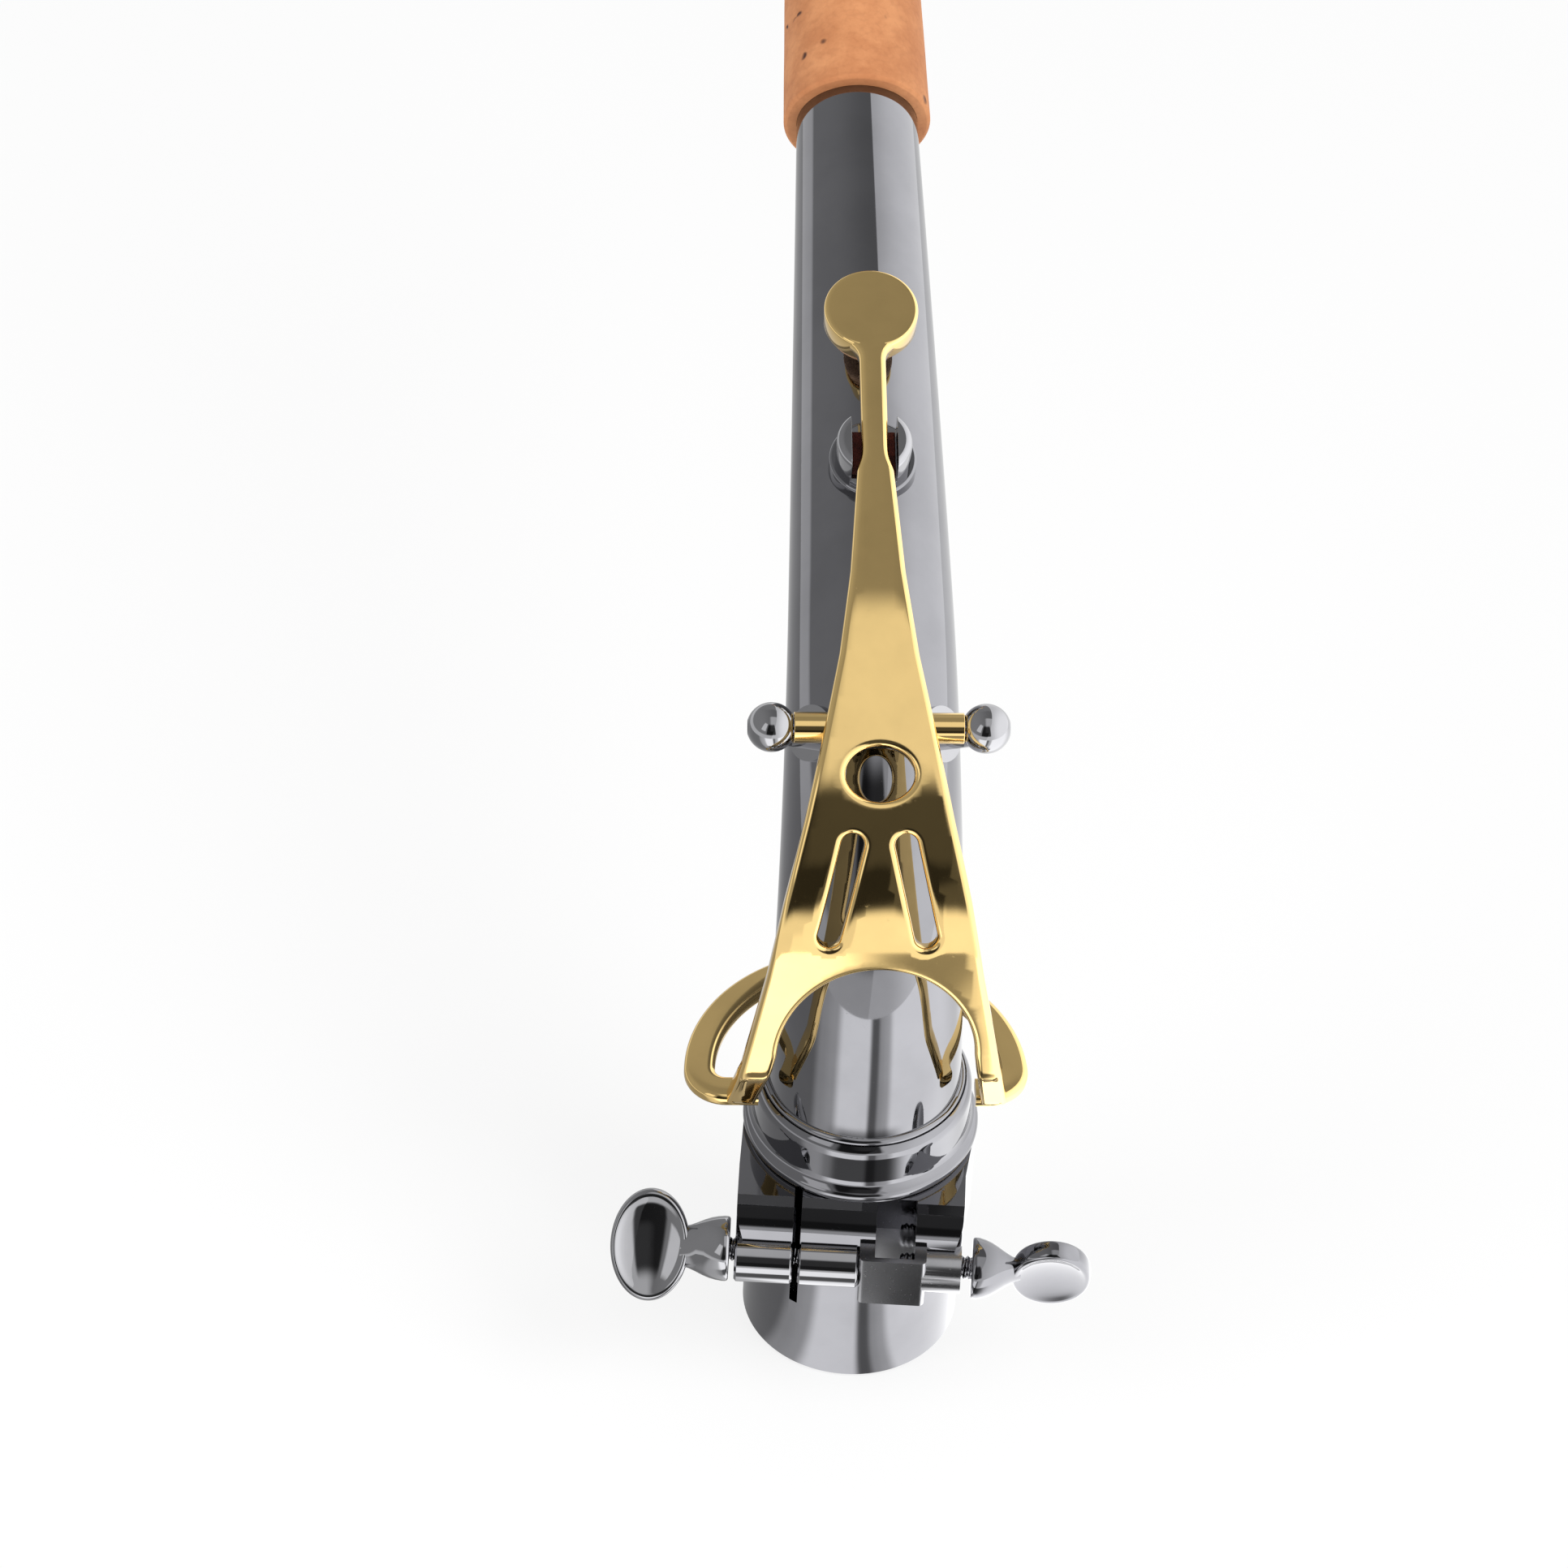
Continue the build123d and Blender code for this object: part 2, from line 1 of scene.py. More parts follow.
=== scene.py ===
import json
import math
import bmesh
import bpy
import numpy as np
from mathutils import Matrix, Vector
from mathutils.geometry import delaunay_2d_cdt


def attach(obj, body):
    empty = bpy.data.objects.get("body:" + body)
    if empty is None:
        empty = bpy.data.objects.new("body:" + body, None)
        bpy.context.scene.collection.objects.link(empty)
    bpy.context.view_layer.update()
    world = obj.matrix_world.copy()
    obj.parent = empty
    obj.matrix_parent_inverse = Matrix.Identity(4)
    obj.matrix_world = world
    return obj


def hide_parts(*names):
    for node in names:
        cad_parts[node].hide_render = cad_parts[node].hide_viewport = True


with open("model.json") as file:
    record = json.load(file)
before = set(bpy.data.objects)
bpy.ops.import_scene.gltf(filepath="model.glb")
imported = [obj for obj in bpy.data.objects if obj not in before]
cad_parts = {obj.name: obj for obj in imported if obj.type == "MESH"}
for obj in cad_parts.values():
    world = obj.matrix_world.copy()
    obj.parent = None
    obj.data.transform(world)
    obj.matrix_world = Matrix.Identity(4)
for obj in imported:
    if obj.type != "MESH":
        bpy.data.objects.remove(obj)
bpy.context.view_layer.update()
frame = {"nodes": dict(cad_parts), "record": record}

# Alto saxophone neck with its octave key, standing in a split clamp: black nickel and gold lacquer.
# Sizes in the dictionaries are millimetres and degrees, apart from the studio's; meshes are made in metres.
nodes = frame["nodes"]
print("frame loaded:", len(nodes), "nodes")

scene = bpy.context.scene
scene.view_settings.view_transform = "Standard"

# camera, looking down at the front of the key
view = {
    "elevation": 43.78,
    "azimuth": -3.64,      # off the key's front, towards -X
    "roll": 2.93,
    "distance": 824,
    "aim": (-11.0, 13.2, 79.6),
    "lens": 153.4,
    "clip": (0.01, 20),
}


def makeCamera(v):
    up, side = math.radians(v["elevation"]), math.radians(v["azimuth"])
    away = Vector((math.sin(side) * math.cos(up), -math.cos(side) * math.cos(up), math.sin(up)))
    data = bpy.data.cameras.new("viewCamera")
    data.lens = v["lens"]
    data.clip_start, data.clip_end = v["clip"]
    cam = bpy.data.objects.new("viewCamera", data)
    scene.collection.objects.link(cam)
    roll = Matrix.Rotation(math.radians(v["roll"]), 4, "Z")
    turn = away.to_track_quat("Z", "Y").to_matrix().to_4x4() @ roll
    cam.matrix_world = Matrix.Translation((Vector(v["aim"]) + away * v["distance"]) / 1000) @ turn
    scene.camera = cam


makeCamera(view)


# short ways to build node trees
def addNode(tree, kind, inputs=None, **settings):
    node = tree.nodes.new(kind)
    for key, value in settings.items():
        setattr(node, key, value)
    for key, value in (inputs or {}).items():
        if isinstance(value, bpy.types.NodeSocket):
            tree.links.new(value, node.inputs[key])
        else:
            node.inputs[key].default_value = value
    return node


def calc(tree, operation, a, b=0.0):
    return addNode(tree, "ShaderNodeMath", {0: a, 1: b}, operation=operation).outputs[0]


def product(tree, first, *others):
    for other in others:
        first = calc(tree, "MULTIPLY", first, other)
    return first


def brightest(tree, first, *others):
    for other in others:
        first = calc(tree, "MAXIMUM", first, other)
    return first


def spread(tree, value, low, high, toLow=0.0, toHigh=1.0):
    limits = {"Value": value, "From Min": low, "From Max": high, "To Min": toLow, "To Max": toHigh}
    return addNode(tree, "ShaderNodeMapRange", limits, interpolation_type="SMOOTHSTEP").outputs["Result"]


def noise(tree, coord, scale, detail, roughness=0.5):
    return addNode(tree, "ShaderNodeTexNoise", {"Vector": coord, "Scale": scale, "Detail": detail,
                                                "Roughness": roughness}).outputs["Fac"]


def mixColor(tree, share, a, b):
    node = addNode(tree, "ShaderNodeMix", data_type="RGBA")
    for socket, value in ((node.inputs["Factor"], share), (node.inputs[6], a), (node.inputs[7], b)):
        if isinstance(value, bpy.types.NodeSocket):
            tree.links.new(value, socket)
        else:
            socket.default_value = value
    return node.outputs[2]


def newMaterial(name):
    mat = bpy.data.materials.new(name)
    mat.use_nodes = True
    mat.node_tree.nodes.clear()
    return mat, mat.node_tree


def toSurface(tree, shader, kind="ShaderNodeOutputMaterial"):
    addNode(tree, kind, {"Surface": shader.outputs[0]})


# Floor, surroundings and lamps, in metres.
# Tones only colour reflections in metal: 1 is white, more is a light.
# Directions are x to the right, y away from the viewer and z up, and a compass angle is 0 towards the viewer.
studio = {
    "floorRadius": 0.40,
    "floorSides": 96,
    "floorDrop": 0.0002,
    "floorColor": (0.85, 0.85, 0.85, 1),
    "floorGlow": (0.8, 0.98),                   # share of plain white, as seen and in reflections
    "receiverHole": (0.0128, 0.0134),           # the floor inside the receiver stays dark
    "paintedNearShade": (0.026, 0.040, 0.055, 0.068),   # painted shade: a dark ring on the floor, seen only in metal reflections, by distance from the axis
    "paintedNearShadeSides": (0.80, 0.34),
    "paintedNearShadeFront": (0.0, -0.02),
    "paintedNearShadeTone": 0.08,
    # degrees, tone
    "streaks": ((-180, 0.6), (-75, 0.35), (-60, 0.35), (-50, 0.8), (-36, 1.0), (-26, 2.2), (0, 2.2),
                (5, 0.3), (9, 0.3), (14, 1.0), (20, 1.2), (28, 2.4), (80, 2.4), (120, 1.5), (180, 0.8)),
    "rampTop": 4.0,                             # the ramp's colours are the tones divided by this
    "ceiling": (0.28, 0.44),                    # dark room above, at the right and at the left
    "ceilingSide": (0.3, -0.8),
    "softbox": (1.25, 2.0),                     # wide light over the right shoulder, inner and outer edge
    "softboxSide": (0.25, 0.9),
    "softboxEdge": 0.36,
    "softboxBlur": 0.03,
    "overhead": 0.9,                            # paler patch above the viewer
    "overheadDepth": (0.10, -0.02),
    "overheadHeight": (0.30, 0.45),
    "overheadSide": (-0.28, 0.0, 0.15, 1.0),
    "back": 0.40,
    "backDepth": (0.45, 0.70),
    "walls": 1.0,
    "wallHeight": (0.16, 0.0),
    "front": 0.08,                              # dark room behind the viewer
    "frontSpan": (-0.50, -0.36, 0.24, 0.38),    # radians
    "frontHeight": (0.02, 0.16, 0.72, 0.88),
    "leftBox": 1.2,                             # small light at the left of the viewer
    "leftBoxSpan": (-1.0, -0.9, -0.58, -0.48),
    "leftBoxHeight": (0.25, 0.35, 0.75, 0.85),
    "fill": 0.55,                               # plain light on everything that isn't a mirror
}
lamps = {
    "rightLamp": {"place": (0.5, -0.35, 0.8), "size": (0.5, 0.5), "power": 6.5},
    "leftLamp": {"place": (-0.6, -0.2, 0.5), "size": (0.4, 0.5), "power": 2.5},
}
lampAim = Vector((0, 0.05, 0.08))


def rayShares(tree):
    path = addNode(tree, "ShaderNodeLightPath")
    seen = calc(tree, "MAXIMUM", path.outputs["Is Camera Ray"], path.outputs["Is Transmission Ray"])
    return path.outputs["Is Glossy Ray"], seen


def compass(tree, x, y):
    return calc(tree, "ARCTAN2", x, calc(tree, "MULTIPLY", y, -1.0))


def streaks(tree, x, y, s):
    turn = calc(tree, "DIVIDE", calc(tree, "ADD", compass(tree, x, y), math.pi), math.tau)
    ramp = addNode(tree, "ShaderNodeValToRGB", {0: turn})
    ramp.color_ramp.interpolation = "EASE"
    spots = ramp.color_ramp.elements
    stops = [((degrees + 180) / 360, [tone / s["rampTop"]] * 3 + [1]) for degrees, tone in s["streaks"]]
    spots[0].color, spots[1].color = stops[0][1], stops[-1][1]
    for place, color in stops[1:-1]:
        spots.new(place).color = color
    return calc(tree, "MULTIPLY", ramp.outputs["Color"], s["rampTop"])


# 1 from full to fullEnd, falling to 0 at start and end
def band(tree, value, start, full, fullEnd, end):
    return calc(tree, "MULTIPLY", spread(tree, value, start, full), spread(tree, value, end, fullEnd))


def makeFloor(s):
    turns = [k * math.tau / s["floorSides"] for k in range(s["floorSides"])]
    rim = [(s["floorRadius"] * math.cos(a), s["floorRadius"] * math.sin(a), -s["floorDrop"]) for a in turns]
    mesh = bpy.data.meshes.new("studioFloor")
    mesh.from_pydata(rim, [], [tuple(range(len(rim)))])
    floor = bpy.data.objects.new("studioFloor", mesh)
    scene.collection.objects.link(floor)
    mat, tree = newMaterial("paleFloor")
    glossy, seen = rayShares(tree)
    coord = addNode(tree, "ShaderNodeTexCoord").outputs["Object"]
    x, y, _ = addNode(tree, "ShaderNodeSeparateXYZ", {0: coord}).outputs
    off = calc(tree, "SQRT", calc(tree, "ADD", calc(tree, "MULTIPLY", x, x), calc(tree, "MULTIPLY", y, y)))
    aside = calc(tree, "ABSOLUTE", calc(tree, "DIVIDE", x, calc(tree, "ADD", off, 0.0001)))
    # painted shade: in metal reflections the floor's glow is dimmed to a dark ring round the axis, near the
    # object
    paintedRingShade = product(tree, band(tree, off, *s["paintedNearShade"]), spread(tree, aside, *s["paintedNearShadeSides"]),
                        spread(tree, y, *s["paintedNearShadeFront"]))
    shade = spread(tree, paintedRingShade, 0.0, 1.0, 1.0, s["paintedNearShadeTone"])
    tone = calc(tree, "MULTIPLY", streaks(tree, x, y, s), shade)
    strength = calc(tree, "ADD", 1.0, calc(tree, "MULTIPLY", glossy, calc(tree, "SUBTRACT", tone, 1.0)))
    matte = addNode(tree, "ShaderNodeBsdfDiffuse", {"Color": s["floorColor"]})
    glow = addNode(tree, "ShaderNodeEmission", {"Color": (1, 1, 1, 1), "Strength": strength})
    asSeen, asMirrored = s["floorGlow"]
    share = brightest(tree, calc(tree, "MULTIPLY", seen, asSeen), calc(tree, "MULTIPLY", glossy, asMirrored))
    share = calc(tree, "MULTIPLY", share, spread(tree, off, *s["receiverHole"]))
    toSurface(tree, addNode(tree, "ShaderNodeMixShader", {0: share, 1: matte.outputs[0], 2: glow.outputs[0]}))
    mesh.materials.append(mat)


def makeWorld(s):
    world = bpy.data.worlds.new("softStudio")
    world.use_nodes = True
    scene.world = world
    tree = world.node_tree
    tree.nodes.clear()
    coord = addNode(tree, "ShaderNodeTexCoord").outputs["Generated"]
    x, y, z = addNode(tree, "ShaderNodeSeparateXYZ", {0: coord}).outputs
    offEdge = calc(tree, "SUBTRACT", x, calc(tree, "MULTIPLY", z, s["softboxEdge"]))
    ceiling = spread(tree, x, *s["ceilingSide"], *s["ceiling"])
    softbox = calc(tree, "MULTIPLY", spread(tree, offEdge, 0.0, s["softboxBlur"]),
                   spread(tree, x, *s["softboxSide"], *s["softbox"]))
    overhead = product(tree, spread(tree, y, *s["overheadDepth"]), spread(tree, z, *s["overheadHeight"]),
                       spread(tree, x, *s["overheadSide"]), s["overhead"])
    back = calc(tree, "MULTIPLY", spread(tree, y, *s["backDepth"]), s["back"])
    walls = calc(tree, "MULTIPLY", spread(tree, z, *s["wallHeight"]), s["walls"])
    glow = brightest(tree, ceiling, back, overhead, walls, softbox)
    aside = compass(tree, x, y)
    front = calc(tree, "MULTIPLY", band(tree, aside, *s["frontSpan"]), band(tree, z, *s["frontHeight"]))
    glow = calc(tree, "MULTIPLY", glow, spread(tree, front, 0.0, 1.0, 1.0, s["front"]))
    leftBox = calc(tree, "MULTIPLY", band(tree, aside, *s["leftBoxSpan"]), band(tree, z, *s["leftBoxHeight"]))
    glow = brightest(tree, glow, calc(tree, "MULTIPLY", leftBox, s["leftBox"]))
    glossy, seen = rayShares(tree)
    white = (1, 1, 1, 1)
    inMetal, soft, plain = [addNode(tree, "ShaderNodeBackground", {"Color": white, "Strength": strength})
                            for strength in (glow, s["fill"], 1.0)]
    lit = addNode(tree, "ShaderNodeMixShader", {0: glossy, 1: soft.outputs[0], 2: inMetal.outputs[0]})
    shown = addNode(tree, "ShaderNodeMixShader", {0: seen, 1: lit.outputs[0], 2: plain.outputs[0]})
    toSurface(tree, shown, "ShaderNodeOutputWorld")


def makeLamp(name, place, size, power):
    data = bpy.data.lights.new(name, "AREA")
    data.shape = "RECTANGLE"
    data.size, data.size_y = size
    data.energy = power
    lamp = bpy.data.objects.new(name, data)
    scene.collection.objects.link(lamp)
    away = Vector(place) - lampAim
    lamp.matrix_world = Matrix.Translation(place) @ away.to_track_quat("Z", "Y").to_matrix().to_4x4()
    lamp.visible_glossy = False


makeFloor(studio)
makeWorld(studio)
for name, lamp in lamps.items():
    makeLamp(name, **lamp)
print("studio ready")


# metals: smear is how much rougher the hazy places are
nickelLook = {"color": (0.24, 0.24, 0.255, 1), "roughness": 0.03, "smear": 0.03}
screwLook = {"color": (0.37, 0.37, 0.385, 1), "roughness": 0.03, "smear": 0.03}
satinLook = {"color": (0.42, 0.42, 0.435, 1), "roughness": 0.2, "smear": 0.06}
goldLook = {"color": (0.93, 0.665, 0.275, 1), "roughness": 0.045, "smear": 0.035}
steelLook = {"color": (0.20, 0.23, 0.34, 1), "roughness": 0.16, "smear": 0.08}


metalGrain = {
    "haze": 70.0, "dust": 2500.0, "wave": 60.0,     # noise scales
    "worn": 0.9, "dustRough": 0.10, "bump": 0.03, "depth": 0.0003,
}


def metalFinish(name, look, grain=metalGrain):
    mat, tree = newMaterial(name)
    coord = addNode(tree, "ShaderNodeTexCoord").outputs["Object"]
    haze = noise(tree, coord, grain["haze"], 4.0, 0.6)
    dust = noise(tree, coord, grain["dust"], 2.0)
    wave = noise(tree, coord, grain["wave"], 1.0)
    low, high = look["roughness"], look["roughness"] + look["smear"]
    rough = calc(tree, "ADD", spread(tree, haze, 0.35, 0.75, low, high),
                 spread(tree, dust, 0.66, 0.78, 0.0, grain["dustRough"]))
    worn = [c * grain["worn"] for c in look["color"][:3]] + [1]
    tint = mixColor(tree, spread(tree, haze, 0.35, 0.7), look["color"], worn)
    bump = addNode(tree, "ShaderNodeBump", {"Strength": grain["bump"], "Distance": grain["depth"],
                                            "Height": wave})
    toSurface(tree, addNode(tree, "ShaderNodeBsdfPrincipled", {
        "Base Color": tint, "Metallic": 1.0, "Roughness": rough, "Normal": bump.outputs["Normal"]}))
    return mat


# pressed cork: fine grains and a few open pits in darker patches
corkLook = {
    "pale": (0.66, 0.29, 0.125, 1), "deep": (0.51, 0.20, 0.08, 1), "fleck": (0.30, 0.10, 0.04, 1),
    "pit": (0.07, 0.025, 0.015, 1), "clouds": 150.0, "grains": 1300.0, "pits": 330.0, "patches": 120.0,
    "roughness": 0.75, "bump": 0.35, "depth": 0.0002,
}


def corkFinish(name, look):
    mat, tree = newMaterial(name)
    coord = addNode(tree, "ShaderNodeTexCoord").outputs["Object"]
    cloud = noise(tree, coord, look["clouds"], 6.0, 0.65)
    grain = addNode(tree, "ShaderNodeTexVoronoi", {"Vector": coord, "Scale": look["grains"]})
    pits = addNode(tree, "ShaderNodeTexVoronoi", {"Vector": coord, "Scale": look["pits"]})
    where = noise(tree, coord, look["patches"], 2.0)
    body = mixColor(tree, spread(tree, cloud, 0.32, 0.68), look["deep"], look["pale"])
    body = mixColor(tree, spread(tree, grain.outputs["Distance"], 0.45, 0.9, 0.0, 0.16), body, look["fleck"])
    pit = calc(tree, "MULTIPLY", spread(tree, pits.outputs["Distance"], 0.28, 0.16),
               spread(tree, where, 0.57, 0.62))
    body = mixColor(tree, pit, body, look["pit"])
    height = calc(tree, "SUBTRACT", calc(tree, "MULTIPLY", grain.outputs["Distance"], -0.25), pit)
    bump = addNode(tree, "ShaderNodeBump", {"Strength": look["bump"], "Distance": look["depth"],
                                            "Height": height})
    toSurface(tree, addNode(tree, "ShaderNodeBsdfPrincipled", {
        "Base Color": body, "Roughness": look["roughness"], "Normal": bump.outputs["Normal"]}))
    return mat


leatherLook = {"color": (0.50, 0.31, 0.18, 1), "dark": (0.36, 0.20, 0.11, 1), "scale": 1500,
               "roughness": 0.55, "bump": 0.4, "depth": 0.0001}
feltLook = {"color": (0.13, 0.028, 0.022, 1), "dark": (0.05, 0.012, 0.012, 1), "scale": 2600,
            "roughness": 0.95, "bump": 0.9, "depth": 0.0001}


def softFinish(name, look):
    mat, tree = newMaterial(name)
    coord = addNode(tree, "ShaderNodeTexCoord").outputs["Object"]
    grain = addNode(tree, "ShaderNodeTexVoronoi", {"Vector": coord, "Scale": look["scale"]})
    cloud = noise(tree, coord, look["scale"] * 0.25, 4.0)
    body = mixColor(tree, spread(tree, cloud, 0.3, 0.7), look["dark"], look["color"])
    bump = addNode(tree, "ShaderNodeBump", {"Strength": look["bump"], "Distance": look["depth"],
                                            "Height": grain.outputs["Distance"]})
    toSurface(tree, addNode(tree, "ShaderNodeBsdfPrincipled", {
        "Base Color": body, "Roughness": look["roughness"], "Normal": bump.outputs["Normal"]}))
    return mat


blackNickel = metalFinish("blackNickel", nickelLook)
paleNickel = metalFinish("paleNickel", screwLook)
satinNickel = metalFinish("satinNickel", satinLook)
goldLacquer = metalFinish("goldLacquer", goldLook)
bluedSteel = metalFinish("bluedSteel", steelLook)
neckCorkLook = corkFinish("neckCorkLook", corkLook)
padLeather = softFinish("padLeather", leatherLook)
darkFelt = softFinish("darkFelt", feltLook)
finishOf = {"black_nickel": blackNickel, "gold_lacquer": goldLacquer, "cork": neckCorkLook,
            "pad_leather": padLeather, "felt": darkFelt, "spring_steel": bluedSteel}
slotOf = {part["node"]: part["material_slot"] for part in frame["record"]["subparts"]}
bodyOf = {node: body for body, members in frame["record"]["behaviour"]["bodies"].items() for node in members}
brighter = {"left_barrel", "right_barrel", "left_post", "right_post", "guide_cup", "neck_screw_head",
            "neck_screw_shaft", "lyre_screw_shaft", "spring_screw"}     # small turned parts, in a paler nickel than the tube


def finishFor(node):
    if node == "lyre_block":
        return satinNickel
    return paleNickel if node in brighter else finishOf[slotOf[node]]


for node in slotOf:
    for holder in nodes[node].material_slots:
        holder.material = finishFor(node)
print("finishes ready")

poleRadius = 0.001      # a pole is a tiny capped ring
barSides = 96           # points round a turned shape


# a new piece from points in millimetres; edges sharper than the angle stay sharp
def makePiece(name, verts, faces, sharp):
    mesh = bpy.data.meshes.new(name)
    mesh.from_pydata([Vector(v) / 1000 for v in verts], [], faces)
    piece = bpy.data.objects.new(name, mesh)
    scene.collection.objects.link(piece)
    tidyPiece(piece, sharp)
    return piece


def tidyPiece(piece, sharp):
    work = bmesh.new()
    work.from_mesh(piece.data)
    bmesh.ops.remove_doubles(work, verts=work.verts, dist=1e-6)
    bmesh.ops.recalc_face_normals(work, faces=work.faces)
    for edge in work.edges:
        edge.smooth = len(edge.link_faces) < 2 or edge.calc_face_angle(0) < math.radians(sharp)
    for face in work.faces:
        face.smooth = True
    work.to_mesh(piece.data)
    work.free()


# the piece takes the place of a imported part, on its body and with its finish
def standIn(piece, node):
    piece.data.materials.clear()
    piece.data.materials.append(finishFor(node))
    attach(piece, bodyOf[node])
    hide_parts(node)


# closed rows of points, all with the same count, joined by faces
def rings(rows, capped=False):
    count = len(rows[0])
    verts = [p for row in rows for p in row]
    faces = []
    for r in range(len(rows) - 1):
        for c in range(count):
            d = (c + 1) % count
            faces.append((r * count + c, r * count + d, (r + 1) * count + d, (r + 1) * count + c))
    if capped:
        faces.append(tuple(range(count)))
        faces.append(tuple(range((len(rows) - 1) * count, len(rows) * count)))
    return verts, faces


# degrees; edges sharper than the angle are rounded
easeShape = {"segments": 3, "angle": 32, "flat": 0.4, "merge": 2e-6}


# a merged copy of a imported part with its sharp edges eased
def softened(node, width, e):
    mesh = nodes[node].data.copy()
    mesh.name = node
    piece = bpy.data.objects.new("eased_" + node, mesh)
    scene.collection.objects.link(piece)
    work = bmesh.new()
    work.from_mesh(mesh)
    bmesh.ops.remove_doubles(work, verts=work.verts, dist=e["merge"])
    bmesh.ops.dissolve_limit(work, angle_limit=math.radians(e["flat"]), verts=work.verts, edges=work.edges)
    bmesh.ops.recalc_face_normals(work, faces=work.faces)
    for face in work.faces:
        face.smooth = True
    work.to_mesh(mesh)
    work.free()
    ease = piece.modifiers.new("ease", "BEVEL")
    ease.width = width / 1000
    ease.segments = e["segments"]
    ease.limit_method = "ANGLE"
    ease.angle_limit = math.radians(e["angle"])
    ease.miter_outer = "MITER_ARC"
    shaded = piece.modifiers.new("shaded", "WEIGHTED_NORMAL")
    shaded.keep_sharp = True
    makePlain(piece)
    standIn(piece, node)


# applies the modifiers and drops them
def makePlain(piece):
    plain = bpy.data.meshes.new_from_object(piece.evaluated_get(bpy.context.evaluated_depsgraph_get()))
    piece.modifiers.clear()
    piece.data = plain


# The tube bends, runs on in a nearly straight tail and ends straight under the cork.
# A station is a length along its centre line from the joint above the collar.
tubeSize = {
    "joint": 43.0, "bendRadius": 50.0, "bendAngle": 72.0, "tailRadius": 724.0, "tailAngle": 6.0,
    "baseRadius": 12.3, "endRadius": 7.8, "tipRadius": 6.9, "wall": 0.8, "corkLength": 42.0, "tipLength": 3.0,
    "rings": 220, "sides": 129, "sharp": 40,
}
bendLength = tubeSize["bendRadius"] * math.radians(tubeSize["bendAngle"])
bentLength = bendLength + tubeSize["tailRadius"] * math.radians(tubeSize["tailAngle"])
tipStation = bentLength + tubeSize["corkLength"] + tubeSize["tipLength"]


def centreLine(station):
    t = tubeSize
    first = min(station, bendLength) / t["bendRadius"]
    lean = first + min(max(station - bendLength, 0), bentLength - bendLength) / t["tailRadius"]
    beyond = max(station - bentLength, 0)
    y = t["bendRadius"] * (1 - math.cos(first)) + t["tailRadius"] * (math.cos(first) - math.cos(lean))
    z = t["joint"] + t["bendRadius"] * math.sin(first) + t["tailRadius"] * (math.sin(lean) - math.sin(first))
    return y + beyond * math.sin(lean), z + beyond * math.cos(lean), lean


def tubeRadius(station):
    t = tubeSize
    if station <= bentLength:
        return t["baseRadius"] + (t["endRadius"] - t["baseRadius"]) * station / bentLength
    run = tipStation - bentLength
    return t["endRadius"] + (t["tipRadius"] - t["endRadius"]) * (station - bentLength) / run


# a point round the tube; the angle is 0 on the key's side
def aroundTube(station, radius, angle):
    y, z, lean = centreLine(station)
    side, rise = radius * math.sin(angle), radius * math.cos(angle)
    return side, y - rise * math.cos(lean), z + rise * math.sin(lean)


def groupInput(tree, name, kind, value=None):
    item = tree.interface.new_socket(name, in_out="INPUT", socket_type=kind)
    if value is not None:
        item.default_value = value


# a node tree with named sizes, and its inputs
def sizedTree(name, sizes, rings, sides):
    tree = bpy.data.node_groups.new(name, "GeometryNodeTree")
    for label, value in sizes.items():
        groupInput(tree, label, "NodeSocketFloat", value)
    groupInput(tree, "Rings", "NodeSocketInt", rings)
    groupInput(tree, "Sides", "NodeSocketInt", sides)
    groupInput(tree, "Finish", "NodeSocketMaterial")
    tree.interface.new_socket("Geometry", in_out="OUTPUT", socket_type="NodeSocketGeometry")
    return tree, tree.nodes.new("NodeGroupInput").outputs


# a flat grid to wrap round an axis, the share of the way along it, from -0.5 to 0.5, and the angle
def wrapGrid(tree, given):
    grid = addNode(tree, "GeometryNodeMeshGrid", {"Size X": 1.0, "Size Y": 1.0, "Vertices X": given["Rings"],
                                                 "Vertices Y": given["Sides"]})
    position = addNode(tree, "GeometryNodeInputPosition").outputs[0]
    along, around, _ = addNode(tree, "ShaderNodeSeparateXYZ", {0: position}).outputs
    return grid.outputs["Mesh"], along, around, calc(tree, "MULTIPLY", around, math.tau)


def moveTo(tree, mesh, x, y, z):
    where = addNode(tree, "ShaderNodeCombineXYZ", {0: x, 1: y, 2: z}).outputs[0]
    metres = addNode(tree, "ShaderNodeVectorMath", {0: where, 1: (0.001, 0.001, 0.001)}, operation="MULTIPLY")
    moved = addNode(tree, "GeometryNodeSetPosition", {"Geometry": mesh, "Position": metres.outputs[0]})
    return moved.outputs[0]


def endTree(tree, mesh, finish):
    real = addNode(tree, "GeometryNodeRealizeInstances", {"Geometry": mesh})
    coated = addNode(tree, "GeometryNodeSetMaterial", {"Geometry": real.outputs[0], "Material": finish})
    addNode(tree, "NodeGroupOutput", {0: coated.outputs[0]})


